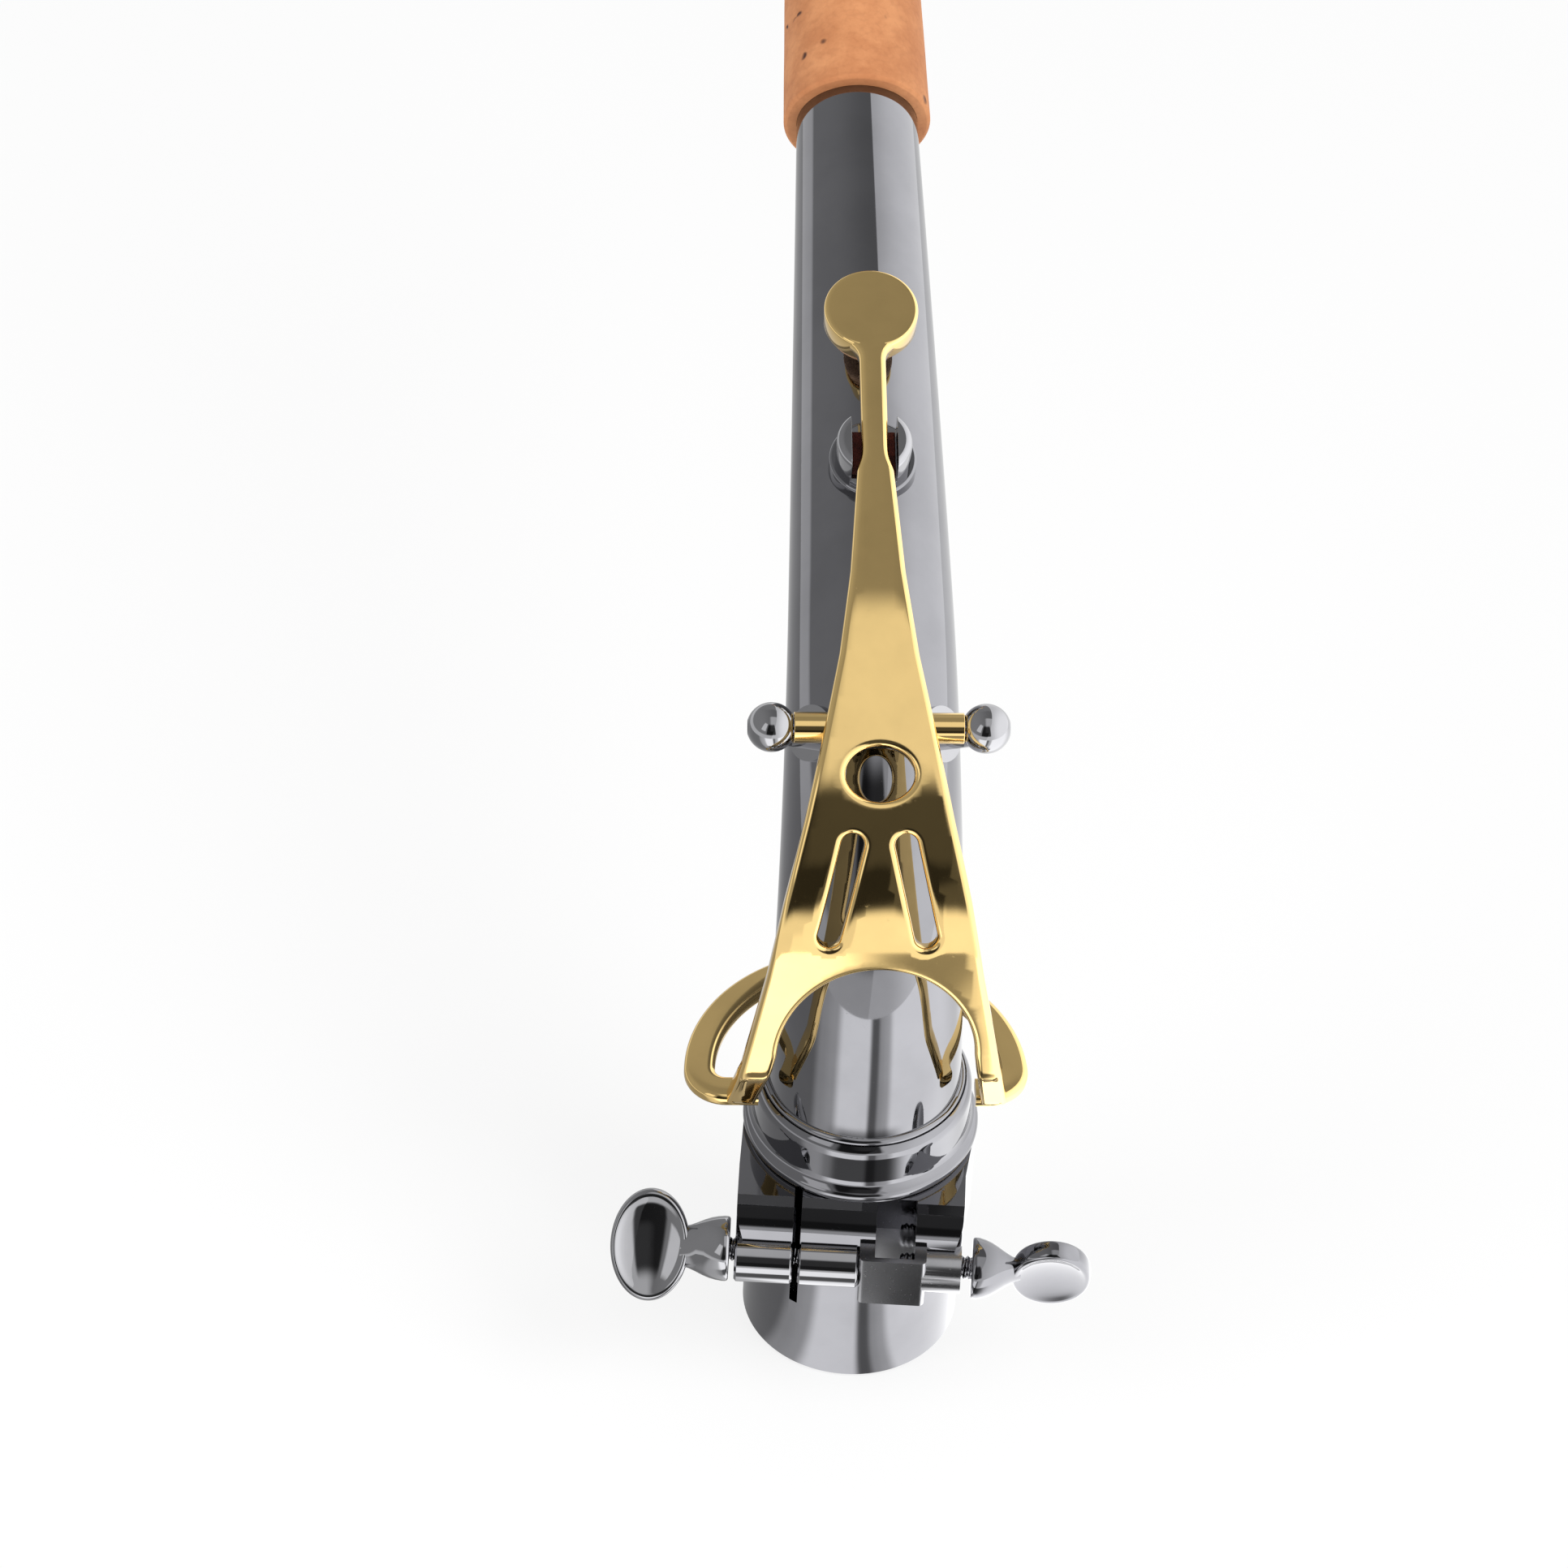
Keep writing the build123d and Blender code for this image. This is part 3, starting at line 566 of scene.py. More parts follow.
def makeTubeTree():
    tree, given = sizedTree("bentTube", {
        "Bend Radius": 50.0, "Bend Length": 60.0, "Tail Radius": 700.0, "Tail Length": 70.0,
        "Straight Length": 45.0, "Base Radius": 12.0, "End Radius": 8.0, "Tip Radius": 7.0,
        "Wall": 0.8, "Base Height": 43.0}, 200, 96)

    def m(operation, a, b=0.0):
        return calc(tree, operation, a, b)

    # one wall of the tube, its radius less by this share of the wall's thickness
    def wallAt(share):
        grid, along, _, angle = wrapGrid(tree, given)
        bentRun = m("ADD", given["Bend Length"], given["Tail Length"])
        station = m("MULTIPLY", m("ADD", along, 0.5), m("ADD", bentRun, given["Straight Length"]))
        first = m("DIVIDE", m("MINIMUM", station, given["Bend Length"]), given["Bend Radius"])
        pastBend = m("MAXIMUM", m("SUBTRACT", station, given["Bend Length"]), 0.0)
        inTail = m("MINIMUM", pastBend, given["Tail Length"])
        lean = m("ADD", first, m("DIVIDE", inTail, given["Tail Radius"]))
        beyond = m("MAXIMUM", m("SUBTRACT", station, bentRun), 0.0)
        sine, cosine = m("SINE", lean), m("COSINE", lean)
        y = m("MULTIPLY", given["Bend Radius"], m("SUBTRACT", 1.0, m("COSINE", first)))
        y = m("ADD", y, m("MULTIPLY", given["Tail Radius"], m("SUBTRACT", m("COSINE", first), cosine)))
        y = m("ADD", y, m("MULTIPLY", beyond, sine))
        z = m("MULTIPLY", given["Bend Radius"], m("SINE", first))
        z = m("ADD", z, m("MULTIPLY", given["Tail Radius"], m("SUBTRACT", sine, m("SINE", first))))
        z = m("ADD", m("ADD", z, given["Base Height"]), m("MULTIPLY", beyond, cosine))
        inBend = m("DIVIDE", m("MINIMUM", station, bentRun), bentRun)
        inCork = m("DIVIDE", beyond, given["Straight Length"])
        narrowed = m("MULTIPLY", inBend, m("SUBTRACT", given["End Radius"], given["Base Radius"]))
        narrowedOn = m("MULTIPLY", inCork, m("SUBTRACT", given["Tip Radius"], given["End Radius"]))
        radius = m("ADD", m("ADD", given["Base Radius"], narrowed), narrowedOn)
        radius = m("SUBTRACT", radius, m("MULTIPLY", given["Wall"], share))
        rise = m("MULTIPLY", radius, m("COSINE", angle))
        return moveTo(tree, grid, m("MULTIPLY", radius, m("SINE", angle)),
                      m("SUBTRACT", y, m("MULTIPLY", rise, cosine)), m("ADD", z, m("MULTIPLY", rise, sine)))

    outer = wallAt(0.0)
    inner = addNode(tree, "GeometryNodeFlipFaces", {"Mesh": wallAt(1.0)}).outputs[0]
    both = addNode(tree, "GeometryNodeJoinGeometry")
    tree.links.new(outer, both.inputs[0])
    tree.links.new(inner, both.inputs[0])
    merged = addNode(tree, "GeometryNodeMergeByDistance", {"Geometry": both.outputs[0], "Distance": 0.000005})
    smooth = addNode(tree, "GeometryNodeSetShadeSmooth", {"Geometry": merged.outputs[0],
                                                          "Shade Smooth": True})
    endTree(tree, smooth.outputs[0], given["Finish"])
    return tree


# a plain mesh grown by a node tree; inputs are set by their identifiers
def grown(name, tree, values):
    piece = bpy.data.objects.new(name, bpy.data.meshes.new(name))
    scene.collection.objects.link(piece)
    grow = piece.modifiers.new("grow", "NODES")
    grow.node_group = tree
    known = {item.name: item.identifier for item in tree.interface.items_tree if item.in_out == "INPUT"}
    for label, value in values.items():
        grow[known[label]] = value
    bpy.context.view_layer.update()
    makePlain(piece)
    piece.data.name = name
    return piece


neckTube = grown("neckTube", makeTubeTree(), {
    "Bend Radius": tubeSize["bendRadius"], "Bend Length": bendLength, "Tail Radius": tubeSize["tailRadius"],
    "Tail Length": bentLength - bendLength, "Straight Length": tipStation - bentLength,
    "Base Radius": tubeSize["baseRadius"], "End Radius": tubeSize["endRadius"],
    "Tip Radius": tubeSize["tipRadius"], "Wall": tubeSize["wall"], "Base Height": tubeSize["joint"],
    "Rings": tubeSize["rings"], "Sides": tubeSize["sides"], "Finish": blackNickel})


# joins the outer and inner walls of the tube at both ends
def closeEnds(piece):
    work = bmesh.new()
    work.from_mesh(piece.data)
    rims = [e for e in work.edges if len(e.link_faces) == 1]
    middle = tipStation / 2000
    for low in (True, False):
        bmesh.ops.bridge_loops(work, edges=[e for e in rims if (e.verts[0].co.y < middle) == low])
    bmesh.ops.recalc_face_normals(work, faces=work.faces)
    for edge in work.edges:
        edge.smooth = edge.calc_face_angle(0) < math.radians(tubeSize["sharp"])
    for face in work.faces:
        face.smooth = True
    work.to_mesh(piece.data)
    work.free()


closeEnds(neckTube)
standIn(neckTube, "neck_tube")
print("neck tube ready", len(neckTube.data.polygons))

# cork sleeve: it starts a little below the straight end, and its ends are worn round
corkSize = {
    "lead": 1.8, "baseRadius": 9.6, "tipRadius": 8.4, "chamfer": 0.45, "rings": 70, "sides": 120,
    "lumps": 0.04, "gap": 0.02,
    "wear": ((0.02, 1.1), (0.06, 1.0), (0.16, 0.85), (0.5, 0.42), (0.85, 0.12), (1.0, 0.03), (1.15, 0.0)),
    "wearEnd": 1.2,
}


def makeCork(c):
    start, length = bentLength - c["lead"], tubeSize["corkLength"] + c["lead"]
    turns = [k * math.tau / c["sides"] for k in range(c["sides"])]
    worn = [(along * c["chamfer"], drop * c["chamfer"]) for along, drop in c["wear"]]
    inset = c["wearEnd"] * c["chamfer"]
    outline = worn + [(along, 0.0) for along in np.linspace(inset, length - inset, c["rings"])]
    outline += [(length - along, drop) for along, drop in reversed(worn)]

    def onTube(along):
        return [aroundTube(start + along, tubeRadius(start + along) + c["gap"], a) for a in turns]

    def lumpy(along, drop):
        radius = c["baseRadius"] + (c["tipRadius"] - c["baseRadius"]) * along / length - drop
        lumps = [math.sin(3 * a + along * 0.31) * math.cos(2 * a - along * 0.17) - 1.0 for a in turns]
        return [aroundTube(start + along, radius + lump * c["lumps"] / 2, a) for lump, a in zip(lumps, turns)]

    rows = [onTube(0.0)] + [lumpy(along, drop) for along, drop in outline] + [onTube(length)]
    standIn(makePiece("neckCorkSleeve", *rings(rows), sharp=50), "neck_cork")


makeCork(corkSize)
print("cork ready")

# Octave key plate: a strip that runs from the pad down to the two toes. Its outline is given by levels,
# which are heights as seen along the tilted line of sight, 0 at the joint of the tube.
keySize = {
    "thickness": 2.0, "padStation": 96.0, "padTop": 6.5, "stub": 9.0, "reachIn": 3.4, "pull": 50.0,
    "legTop": (-11.9, 53.0), "legToe": (-8.6, 44.6), "legRound": 1.2, "lift": 35.0, "lookTilt": 42.5,
    # level, half width
    "halfWidths": ((-7.0, 18.2), (-0.6, 16.2), (12.0, 13.3), (21.8, 11.4), (32.0, 9.1), (42.1, 7.0),
                   (52.2, 4.9), (62.4, 3.4), (75.2, 2.25), (76.6, 1.75), (77.6, 1.65), (120.0, 1.65)),
    "arch": (0.5, 1.8, 12.2, 11.5),             # centre across, level, half width, height
    "archFeet": (2.2, 1.6), "archEnd": 0.03,
    "window": (0.0, 37.6, 4.2, 3.4),            # centre across, level, half width, half height
    "slots": (4.6, 23.2, 14.5, 2.8, 13.0),      # centre across, level, length, width, turn
    "flare": 3.0, "discRadius": 5.85,           # web between the arm and the disc over the pad
    "crown": 0.0014, "step": 0.55, "levelStep": 0.5,
    "edge": 0.85,
    "frontEdge": ((1.0, 0.0), (0.62, 0.05), (0.36, 0.14), (0.15, 0.32), (0.03, 0.60), (0.0, 0.85)),
    "backEdge": ((0.0, 0.25), (0.08, 0.08), (0.25, 0.0)),
    "inner": {"from": 0.4, "half": 18.0, "across": 1.1, "clear": 0.42},     # points inside the outline
}


# the strip's side view as points (y, z), and the length run along it
def keyProfile(k):
    y, z, lean = centreLine(k["padStation"])
    reach = tubeRadius(k["padStation"]) + k["padTop"]
    along = np.array((math.sin(lean), math.cos(lean)))
    start = np.array((y - reach * math.cos(lean), z + reach * math.sin(lean))) - along * k["stub"]
    legTop, toe = np.array(k["legTop"]), np.array(k["legToe"])
    handles = (start, start - along * k["pull"], legTop + np.array((0, k["lift"])), legTop)
    t = np.linspace(0, 1, 400)[:, None]
    curve = ((1 - t) ** 3 * handles[0] + 3 * (1 - t) ** 2 * t * handles[1]
             + 3 * (1 - t) * t ** 2 * handles[2] + t ** 3 * handles[3])
    before = legTop + np.array((0, k["legRound"]))
    after = legTop + (toe - legTop) / np.linalg.norm(toe - legTop) * k["legRound"]
    curve = curve[curve[:, 1] > before[1]]
    q = np.linspace(0, 1, 12)[:, None]
    turn = (1 - q) ** 2 * before + 2 * (1 - q) * q * legTop + q ** 2 * after
    lead = start + along * np.linspace(k["stub"] - k["reachIn"], 0.05, 16)[:, None]
    line = np.vstack((lead, curve, turn, after + (toe - after) * np.linspace(0.1, 1, 20)[:, None]))
    run = np.concatenate(([0], np.cumsum(np.linalg.norm(np.diff(line, axis=0), axis=1))))
    return line, run


def makeKeyPlate(k):
    line, run = keyProfile(k)
    tilt = math.radians(k["lookTilt"])
    level = line[:, 0] * math.sin(tilt) + (line[:, 1] - tubeSize["joint"]) * math.cos(tilt)
    slope = np.gradient(line, run, axis=0)
    slope /= np.linalg.norm(slope, axis=1)[:, None]

    def runAt(v):       # how far along the strip a level is
        return float(np.interp(-v, -level, run))

    def place(x, s, depth):     # a point on the strip, and how far under its face
        y, z = np.interp(s, run, line[:, 0]), np.interp(s, run, line[:, 1])
        dy, dz = np.interp(s, run, slope[:, 0]), np.interp(s, run, slope[:, 1])
        size = math.hypot(dy, dz)
        inward = depth + k["crown"] * x * x
        return x, y - dz / size * inward, z + dy / size * inward

    def dense(points):
        out = []
        for a, b in zip(points, points[1:] + points[:1]):
            a, b = np.array(a), np.array(b)
            count = max(1, int(np.linalg.norm(b - a) / k["step"]))
            out += [tuple(a + (b - a) * i / count) for i in range(count)]
        return out

    vs, widths = zip(*k["halfWidths"])
    top, bottom = level[0], level[-1]
    levels = np.arange(top, bottom, -k["levelStep"])
    flare, disc, arm = k["flare"], k["discRadius"], k["halfWidths"][-1][1]
    far = math.sqrt((disc + flare) ** 2 - (arm + flare) ** 2)    # where the web's arc meets the arm

    def halfWidth(v, s):
        gone = k["reachIn"] + s
        if gone > far:
            return float(np.interp(v, vs, widths))
        return arm + flare - math.sqrt(flare ** 2 - min(far - gone, far * flare / (disc + flare)) ** 2)

    def oval(cx, cv, rx, rv, angles):
        return [(cx + rx * math.cos(a), runAt(cv + rv * math.sin(a))) for a in angles]

    right = [(halfWidth(v, runAt(v)), runAt(v)) for v in levels]
    right.append((float(np.interp(bottom, vs, widths)), run[-1]))
    cx, cv, rx, rv = k["arch"]
    arch = oval(cx, cv, rx, rv, np.linspace(k["archEnd"], math.pi - k["archEnd"], 60))
    rightFoot, leftFoot = (cx + rx + k["archFeet"][1], run[-1]), (cx - rx - k["archFeet"][0], run[-1])
    around = np.linspace(0, math.tau, 49)[:-1]
    loops = [dense(right + [rightFoot] + arch + [leftFoot] + [(-x, s) for x, s in reversed(right)]),
             oval(*k["window"], around)]
    sx, sv, length, width, turn = k["slots"]
    for side in (-1, 1):
        c, s = math.cos(math.radians(-turn * side)), math.sin(math.radians(-turn * side))
        ring = []
        for a in around:
            u = width / 2 * math.cos(a)
            w = width / 2 * math.sin(a) + math.copysign((length - width) / 2, math.sin(a))
            ring.append((side * sx + u * c + w * s, runAt(sv - u * s + w * c)))
        loops.append(dense(ring))

    def inset(loop, amount, outside):       # moves the outline in, or a hole's rim out into the plate
        p = np.array(loop)
        d = np.roll(p, -1, 0) - np.roll(p, 1, 0)
        d /= np.linalg.norm(d, axis=1)[:, None] + 1e-9
        area = 0.5 * np.sum(p[:, 0] * np.roll(p[:, 1], -1) - np.roll(p[:, 0], -1) * p[:, 1])
        normal = np.stack((-d[:, 1], d[:, 0]), 1) * (1 if area > 0 else -1) * (1 if outside else -1)
        return p + normal * amount

    def within(spot, hole):
        ahead = np.roll(hole, -1, 0)
        spans = (hole[:, 1] > spot.y) != (ahead[:, 1] > spot.y)
        share = (spot.y - hole[:, 1]) / (ahead[:, 1] - hole[:, 1] + 1e-12)
        crossing = hole[:, 0] + share * (ahead[:, 0] - hole[:, 0])
        return np.count_nonzero(spans & (crossing > spot.x)) % 2 == 1

    e, deep = k["edge"], k["thickness"]
    steps = [(e * amount, e * depth) for amount, depth in k["frontEdge"]]
    steps += [(amount, deep - above) for amount, above in k["backEdge"]]
    verts, faces = [], []

    def sheet(amount, depth):               # the front or the back face
        edges, flat, inner = [], [], k["inner"]
        for n, loop in enumerate(loops):
            shrunk = inset(loop, amount, n == 0)
            edges += [(len(flat) + i, len(flat) + (i + 1) % len(loop)) for i in range(len(loop))]
            flat += [tuple(p) for p in shrunk]
        border = np.array(flat)
        extra = []
        for s in np.arange(inner["from"], run[-1], k["step"]):
            for x in np.arange(-inner["half"], inner["half"] + 0.1, inner["across"]):
                if np.min(np.hypot(border[:, 0] - x, border[:, 1] - s)) > inner["clear"]:
                    extra.append((x, s))
        points, _, tris, *_ = delaunay_2d_cdt([Vector(p) for p in flat + extra], edges, [], 1, 1e-7)
        start = len(verts)
        verts.extend(place(p.x, p.y, depth) for p in points)
        holes = [inset(loop, amount, False) for loop in loops[1:]]
        for t in tris:
            middle = sum((points[i] for i in t), Vector((0, 0))) / 3
            if not any(within(middle, hole) for hole in holes):
                faces.append(tuple(start + i for i in t))

    sheet(*steps[0])
    sheet(*steps[-1])
    for n, loop in enumerate(loops):
        rows = [[place(x, s, depth) for x, s in inset(loop, amount, n == 0)] for amount, depth in steps]
        v, f = rings(rows)
        start = len(verts)
        verts.extend(v)
        faces.extend(tuple(start + i for i in face) for face in f)
    piece = makePiece("keyPlate", verts, faces, sharp=60)
    standIn(piece, "key_plate")
    return piece


keyPlate = makeKeyPlate(keySize)
print("key plate ready", len(keyPlate.data.polygons))

# open ring round the tube; its ends turn in to meet the toes of the plate
ringSize = {"centre": (-1.1, -2.9), "radius": 19.65, "width": 3.9, "low": 43.5, "high": 45.5, "turn": 3.3,
            "frontLine": -5.7, "feet": (-13.5, 13.7), "round": 0.75, "crown": 0.10,
            "ringSteps": 110, "turnSteps": 14, "cornerSteps": 7}


def makeKeyRing(r):
    cx, cy = r["centre"]
    hookY = r["frontLine"] + r["turn"]
    half = math.sqrt(r["radius"] ** 2 - (hookY - cy) ** 2)
    sweep = math.atan2(hookY - cy, half)
    quarter = np.linspace(0, math.pi / 2, r["turnSteps"])
    path = [(r["feet"][1], r["frontLine"])]
    path += [(cx + half - r["turn"] + r["turn"] * math.sin(a), hookY - r["turn"] * math.cos(a))
             for a in quarter]
    path += [(cx + r["radius"] * math.cos(a), cy + r["radius"] * math.sin(a))
             for a in np.linspace(sweep, math.pi - sweep, r["ringSteps"])[1:-1]]
    path += [(cx - half + r["turn"] - r["turn"] * math.cos(a), hookY - r["turn"] * math.sin(a))
             for a in quarter]
    path += [(r["feet"][0], r["frontLine"])]
    p = np.array(path)
    d = np.gradient(p, axis=0)
    d /= np.linalg.norm(d, axis=1)[:, None]
    w, h, e = r["width"] / 2, (r["high"] - r["low"]) / 2, r["round"]
    section = []
    for sx, sz, base in ((1, 1, 0), (-1, 1, 1), (-1, -1, 2), (1, -1, 3)):
        for a in np.linspace(0, math.pi / 2, r["cornerSteps"]):
            turn = a + base * math.pi / 2
            u = sx * (w - e) + e * math.cos(turn)
            section.append((u, (sz * (h - e) + e * math.sin(turn)) * (1 - r["crown"] * (u / w) ** 2)))
    middle = (r["high"] + r["low"]) / 2
    rows = [[(x + dy * u, y - dx * u, middle + v) for u, v in section] for (x, y), (dx, dy) in zip(p, d)]
    standIn(makePiece("keyRing", *rings(rows, capped=True), sharp=50), "key_ring")


makeKeyRing(ringSize)
print("key ring ready")

# Thumbscrew heads: a bell that narrows into an oval paddle with dished faces.
# The whole clamp is turned a little on the receiver.
clampTurn = math.radians(-4.0)
leftHead = {"name": "neckScrewThumb", "node": "neck_screw_head", "base": -15.6, "outward": -1, "reach": 15.8,
            "height": 25.2, "tilt": 42.0, "radius": 4.1}
rightHead = {"name": "lyreScrewThumb", "node": "lyre_screw_head", "base": 15.0, "outward": 1, "reach": 16.15,
             "height": 24.5, "tilt": -17.0, "radius": 3.9}
headShape = {
    "length": 9.6, "width": 14.2, "thickness": 2.6, "bell": 5.2, "overlap": 0.2,
    "sections": ((0.0, 0.93, 0.93), (0.12, 0.98, 0.98), (0.35, 1.0, 1.0), (0.8, 1.0, 1.0),
                 (1.6, 0.975, 0.94), (2.4, 0.93, 0.85), (3.2, 0.86, 0.72), (4.2, 0.75, 0.53),
                 (5.0, 0.67, 0.39), (6.2, 0.60, 0.27)),
    "face": ((0.0, 0.24), (0.12, 0.252), (0.25, 0.29), (0.38, 0.355), (0.5, 0.44), (0.62, 0.55),
             (0.72, 0.665), (0.80, 0.79), (0.85, 0.90), (0.895, 0.975), (0.93, 0.96), (0.965, 0.84),
             (0.988, 0.62), (0.998, 0.34), (1.0, 0.0)),
}


def makeThumbHead(h, shape):
    turn = Matrix.Rotation(clampTurn, 3, "Z")
    across, outwardY = turn @ Vector((1, 0, 0)), turn @ Vector((0, 1, 0))
    along = across * h["outward"]
    tilt = math.radians(h["tilt"])
    facing = outwardY * -math.cos(tilt) + Vector((0, 0, 1)) * math.sin(tilt)
    wide = along.cross(facing)
    root = turn @ Vector((h["base"], -h["reach"], h["height"]))
    turns = [k * math.tau / barSides for k in range(barSides)]
    bell = [[root + along * s
             + wide * (h["radius"] * a * math.cos(t)) + facing * (h["radius"] * b * math.sin(t))
             for t in turns] for s, a, b in shape["sections"]]
    verts, faces = rings(bell, capped=True)
    middle = root + along * (shape["bell"] + shape["length"] / 2)
    levels = [(max(r, poleRadius), v) for r, v in shape["face"]]
    levels += [(r, -v) for r, v in reversed(levels[:-1])]
    long, broad, thick = shape["length"] / 2 + shape["overlap"], shape["width"] / 2, shape["thickness"] / 2
    paddle = [[middle + along * (long * r * math.cos(t))
               + wide * (broad * r * math.sin(t)) + facing * (thick * v)
               for t in turns] for r, v in levels]
    v, f = rings(paddle, capped=True)
    faces += [tuple(i + len(verts) for i in face) for face in f]
    verts += v
    standIn(makePiece(h["name"], verts, faces, sharp=50), h["node"])


for head in (leftHead, rightHead):
    makeThumbHead(head, headShape)
print("thumbscrews ready")

# cut threads; reach is how far in front of the tenon's axis a screw lies
threadSize = {"core": 1.24, "crest": 1.54, "pitch": 0.7, "chamfer": 0.5, "sides": 41, "ringsPerTurn": 8}
screwRuns = {
    "neckScrewThread": {"node": "neck_screw_shaft", "start": -18.6, "end": 0.3,
                        "reach": 15.8, "height": 25.2},
    "lyreScrewThread": {"node": "lyre_screw_shaft", "start": 5.8, "end": 18.0,
                        "reach": 16.15, "height": 24.5},
}


def makeThreadTree():
    tree, given = sizedTree("screwThread", {
        "Length": 10.0, "Core Radius": 1.2, "Crest Radius": 1.5, "Pitch": 0.7, "Chamfer": 0.5}, 100, 41)

    def m(operation, a, b=0.0):
        return calc(tree, operation, a, b)

    grid, share, around, angle = wrapGrid(tree, given)
    along = m("MULTIPLY", m("ADD", share, 0.5), given["Length"])
    turns = m("FRACT", m("ADD", m("DIVIDE", along, given["Pitch"]), m("ADD", around, 100.0)))
    ridge = m("SUBTRACT", 1.0, m("MULTIPLY", m("ABSOLUTE", m("SUBTRACT", turns, 0.5)), 2.0))
    depth = m("SUBTRACT", given["Crest Radius"], given["Core Radius"])
    radius = m("ADD", given["Core Radius"], m("MULTIPLY", ridge, depth))
    fromEnd = m("MINIMUM", along, m("SUBTRACT", given["Length"], along))
    limit = m("ADD", m("SUBTRACT", given["Crest Radius"], given["Chamfer"]), fromEnd)
    # closed at the ends
    radius = m("MULTIPLY", m("MINIMUM", radius, limit), m("GREATER_THAN", fromEnd, 0.0001))
    moved = moveTo(tree, grid, along, m("MULTIPLY", radius, m("COSINE", angle)),
                   m("MULTIPLY", radius, m("SINE", angle)))
    merged = addNode(tree, "GeometryNodeMergeByDistance", {"Geometry": moved, "Distance": 0.000004})
    endTree(tree, merged.outputs[0], given["Finish"])
    return tree


threadTree = makeThreadTree()
for name, screw in screwRuns.items():
    t, length = threadSize, screw["end"] - screw["start"]
    shaft = grown(name, threadTree, {
        "Length": length, "Core Radius": t["core"], "Crest Radius": t["crest"], "Pitch": t["pitch"],
        "Chamfer": t["chamfer"], "Rings": int(length / t["pitch"] * t["ringsPerTurn"]), "Sides": t["sides"],
        "Finish": paleNickel})
    onAxis = Matrix.Translation(Vector((screw["start"], -screw["reach"], screw["height"])) / 1000)
    shaft.data.transform(Matrix.Rotation(clampTurn, 4, "Z") @ onAxis)
    tidyPiece(shaft, 70)
    standIn(shaft, screw["node"])
print("threads ready")

# Cup, pad and felt stand on the tube: heights are above its wall.
cupSize = {"station": 96.0, "top": 6.515, "radius": 5.9, "inner": 5.3, "depth": 3.0, "well": 1.6,
           "edge": 0.45, "sides": 128}
padSize = {"station": 96.0, "low": 1.5, "high": 5.08, "radius": 5.22, "seat": 2.3, "puff": 0.16,
           "roll": 0.75, "seamRise": 1.75, "seam": 0.07, "pucker": 0.03, "puckers": 11, "puckerFrom": 3.8}
feltSize = {"station": 77.0, "low": 1.92, "high": 2.86, "width": 5.5, "length": 5.9, "fuzz": 0.05,
            "cells": 26, "topInset": 0.16, "worn": 0.10, "wornWidth": 0.35,
            "levels": ((0.0, 0.06), (0.12, 0.0), (0.5, 0.0), (0.85, 0.05), (0.97, 0.16))}      # height, inset


def overTube(station, height, side, along):
    y, z, lean = centreLine(station)
    rise, c, s = tubeRadius(station) + height, math.cos(lean), math.sin(lean)
    return side, y - rise * c + along * s, z + rise * s + along * c


def makePadCup(c):
    top, r, e, inner = c["top"], c["radius"], c["edge"], c["inner"]
    low = top - c["depth"]
    outline = [(poleRadius, top), (2.0, top), (4.0, top), (r - e * 1.6, top - 0.004)]
    outline += [(r - e + e * math.sin(a), top - 0.01 - e * (1 - math.cos(a)))
                for a in np.linspace(0.25, math.pi / 2, 8)]
    outline += [(r, low + 0.15), (r - 0.05, low + 0.04), (r - 0.15, low), (inner + 0.08, low)]
    outline += [(inner, low + 0.08), (inner, low + c["well"]), (poleRadius, low + c["well"])]
    turns = [k * math.tau / c["sides"] for k in range(c["sides"])]
    rows = [[overTube(c["station"], h, q * math.cos(a), q * math.sin(a)) for a in turns] for q, h in outline]
    standIn(makePiece("padCupShell", *rings(rows, capped=True), sharp=50), "pad_cup")


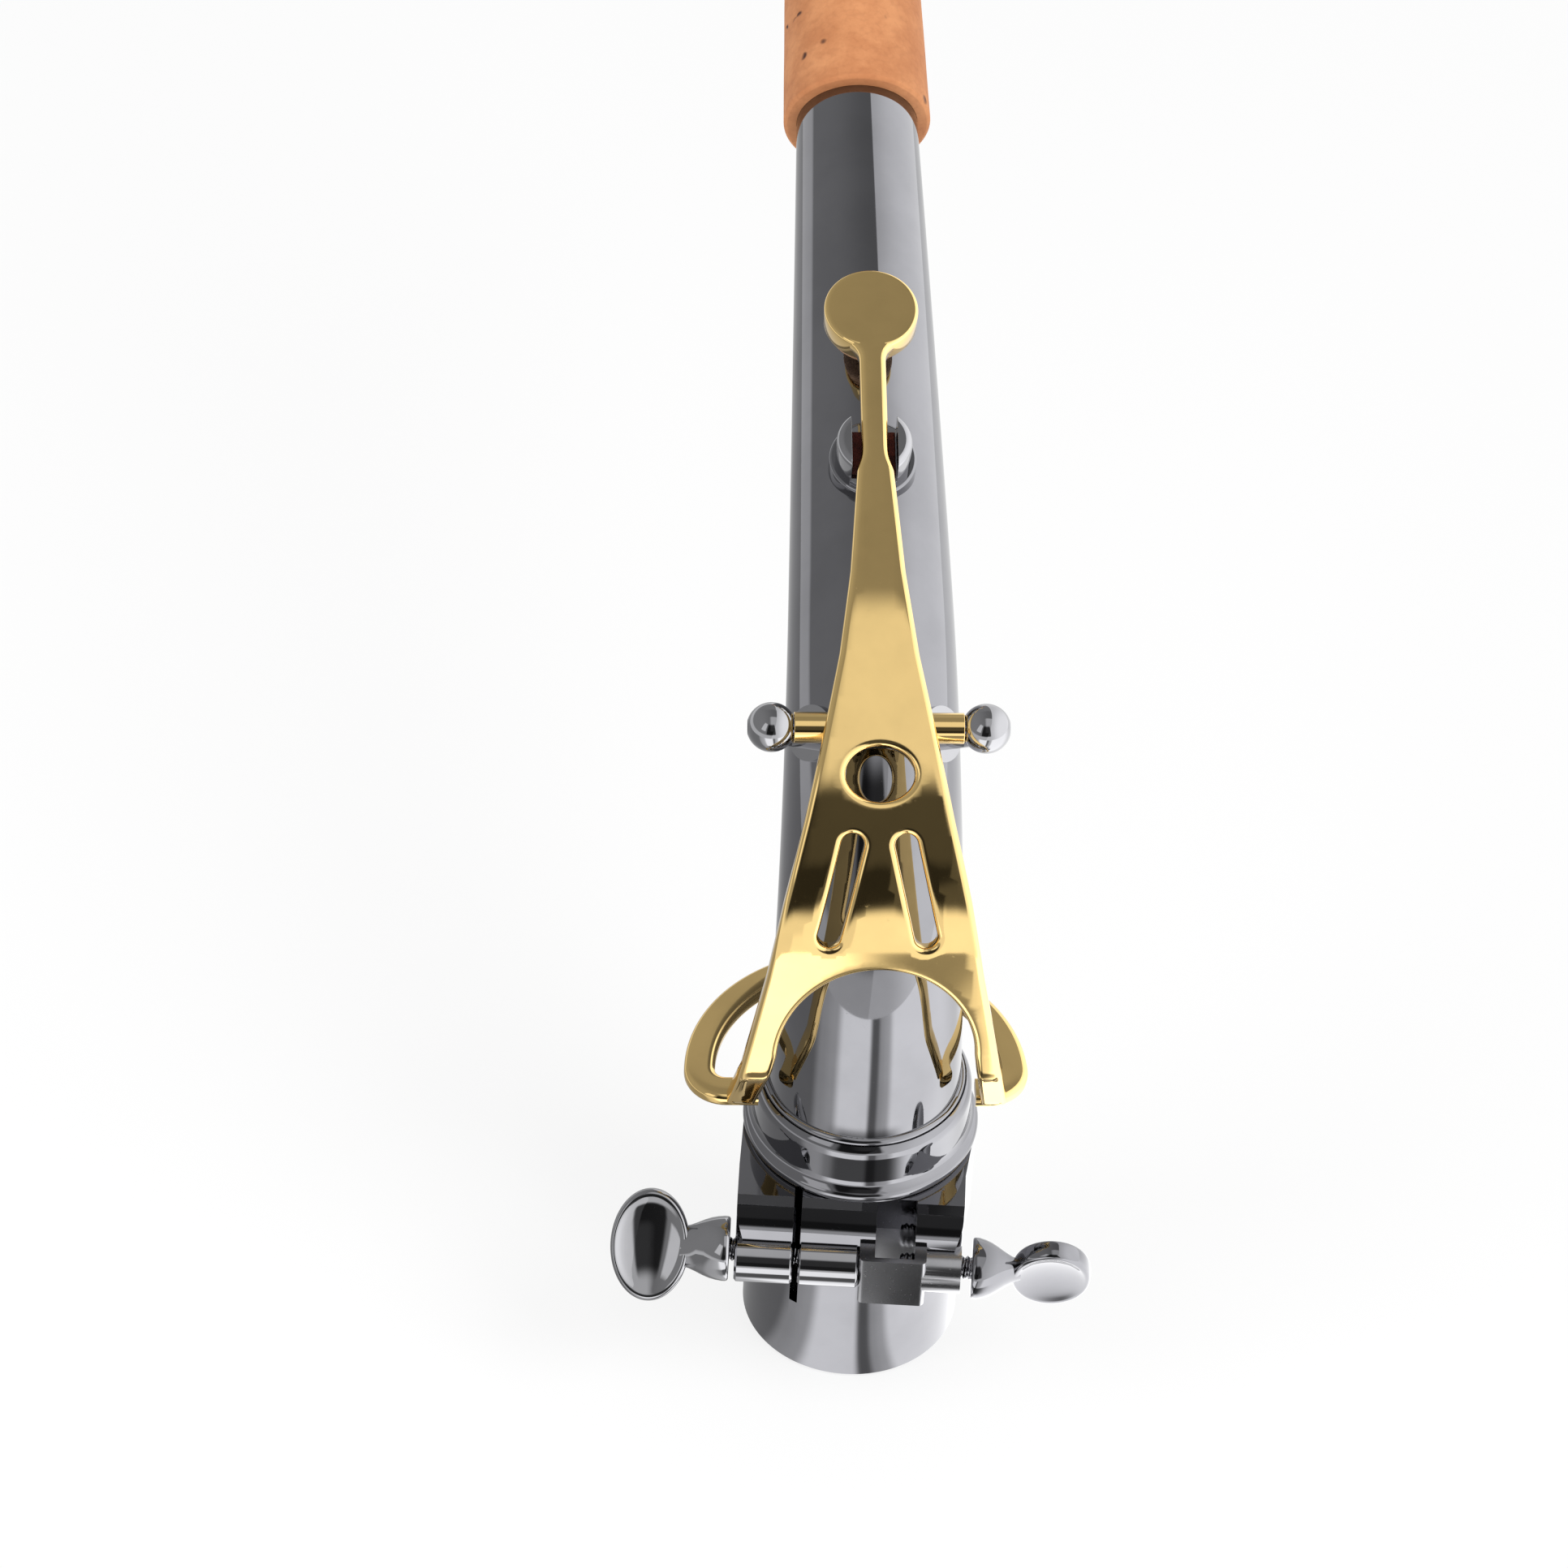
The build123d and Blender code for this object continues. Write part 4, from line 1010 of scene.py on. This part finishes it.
def makePad(p):
    low, high, r, puff, roll = p["low"], p["high"], p["radius"], p["puff"], p["roll"]
    seam, groove = low + p["seamRise"], r - p["seam"]
    outline = [(poleRadius, low), (1.0, low), (p["seat"] - 0.3, low + 0.01), (p["seat"], low + 0.05)]
    outline += [(p["seat"] + 0.5, low + puff * 0.55), (3.6, low + puff * 0.75), (4.2, low + puff * 1.2)]
    outline += [(r - roll + roll * math.sin(a), low + 0.2 + roll * (1 - math.cos(a)))
                for a in np.linspace(0.15, math.pi / 2, 8)]
    outline += [(r, seam - 0.25), (groove, seam - 0.06), (groove, seam + 0.06), (r, seam + 0.25)]
    outline += [(r, high - 0.3), (r - 0.1, high - 0.08), (r - 0.35, high), (2.5, high), (poleRadius, high)]
    rows = []
    for radius, height in outline:
        row = []
        for k in range(barSides):
            a = k * math.tau / barSides
            pucker = p["pucker"] * math.sin(a * p["puckers"]) * max(0.0, (radius - p["puckerFrom"]) / 1.4)
            drawn = radius - (pucker if height < seam else 0.0)
            row.append(overTube(p["station"], height, drawn * math.cos(a), drawn * math.sin(a)))
        rows.append(row)
    piece = makePiece("octavePadLeather", *rings(rows, capped=True), sharp=70)
    standIn(piece, "octave_pad")


def makeFelt(f):
    n, halfWidth, halfLength = f["cells"], f["width"] / 2, f["length"] / 2
    along = np.linspace(-1, 1, n + 1)
    border = [(q, -1) for q in along[:-1]] + [(1, q) for q in along[:-1]]
    border += [(q, 1) for q in along[:0:-1]] + [(-1, q) for q in along[:0:-1]]
    rows = []
    for level, inset in f["levels"]:
        height = f["low"] + (f["high"] - f["low"]) * level
        row = []
        for a, b in border:
            tuft = f["fuzz"] * math.sin(a * 23 + level * 5) * math.sin(b * 19 - level * 3)
            shrink = inset - tuft * 0.4
            row.append(overTube(f["station"], height, a * (halfWidth - shrink), b * (halfLength - shrink)))
        rows.append(row)
    verts, faces = rings(rows)
    faces.append(tuple(range(len(border))))
    start = len(verts)
    for a in along:                 # the top, worn hollow along its middle where the key slides
        for b in along:
            height = f["high"] - 0.03
            if max(abs(a), abs(b)) < 0.999:
                tuft = math.sin(a * 31 + 1.3 * b) * math.sin(b * 27 - a)
                tuft += 0.5 * math.sin(a * 61) * math.sin(b * 57)
                height += 0.03 + f["fuzz"] * tuft - f["worn"] * math.exp(-(a / f["wornWidth"]) ** 2)
            verts.append(overTube(f["station"], height, a * (halfWidth - f["topInset"]),
                                  b * (halfLength - f["topInset"])))
    for i in range(n):
        for j in range(n):
            k = start + i * (n + 1) + j
            faces.append((k, k + 1, k + n + 2, k + n + 1))
    piece = makePiece("guideFeltStrip", verts, faces, sharp=70)
    standIn(piece, "guide_felt")


makePadCup(cupSize)
makePad(padSize)
makeFelt(feltSize)
print("pad and felt ready")

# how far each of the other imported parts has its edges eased
easing = {
    "receiver_sleeve": 0.2, "clamp_band": 0.3, "left_barrel": 0.12, "right_barrel": 0.12, "lyre_block": 0.18,
    "hinge_tube": 0.12, "guide_base": 0.1, "guide_cup": 0.2, "tip_ring": 0.2,
    "hinge_rod": 0.08, "spring_screw": 0.08, "octave_pip": 0.1,
}
for node, width in easing.items():
    softened(node, width, easeShape)
print("eased copies ready")
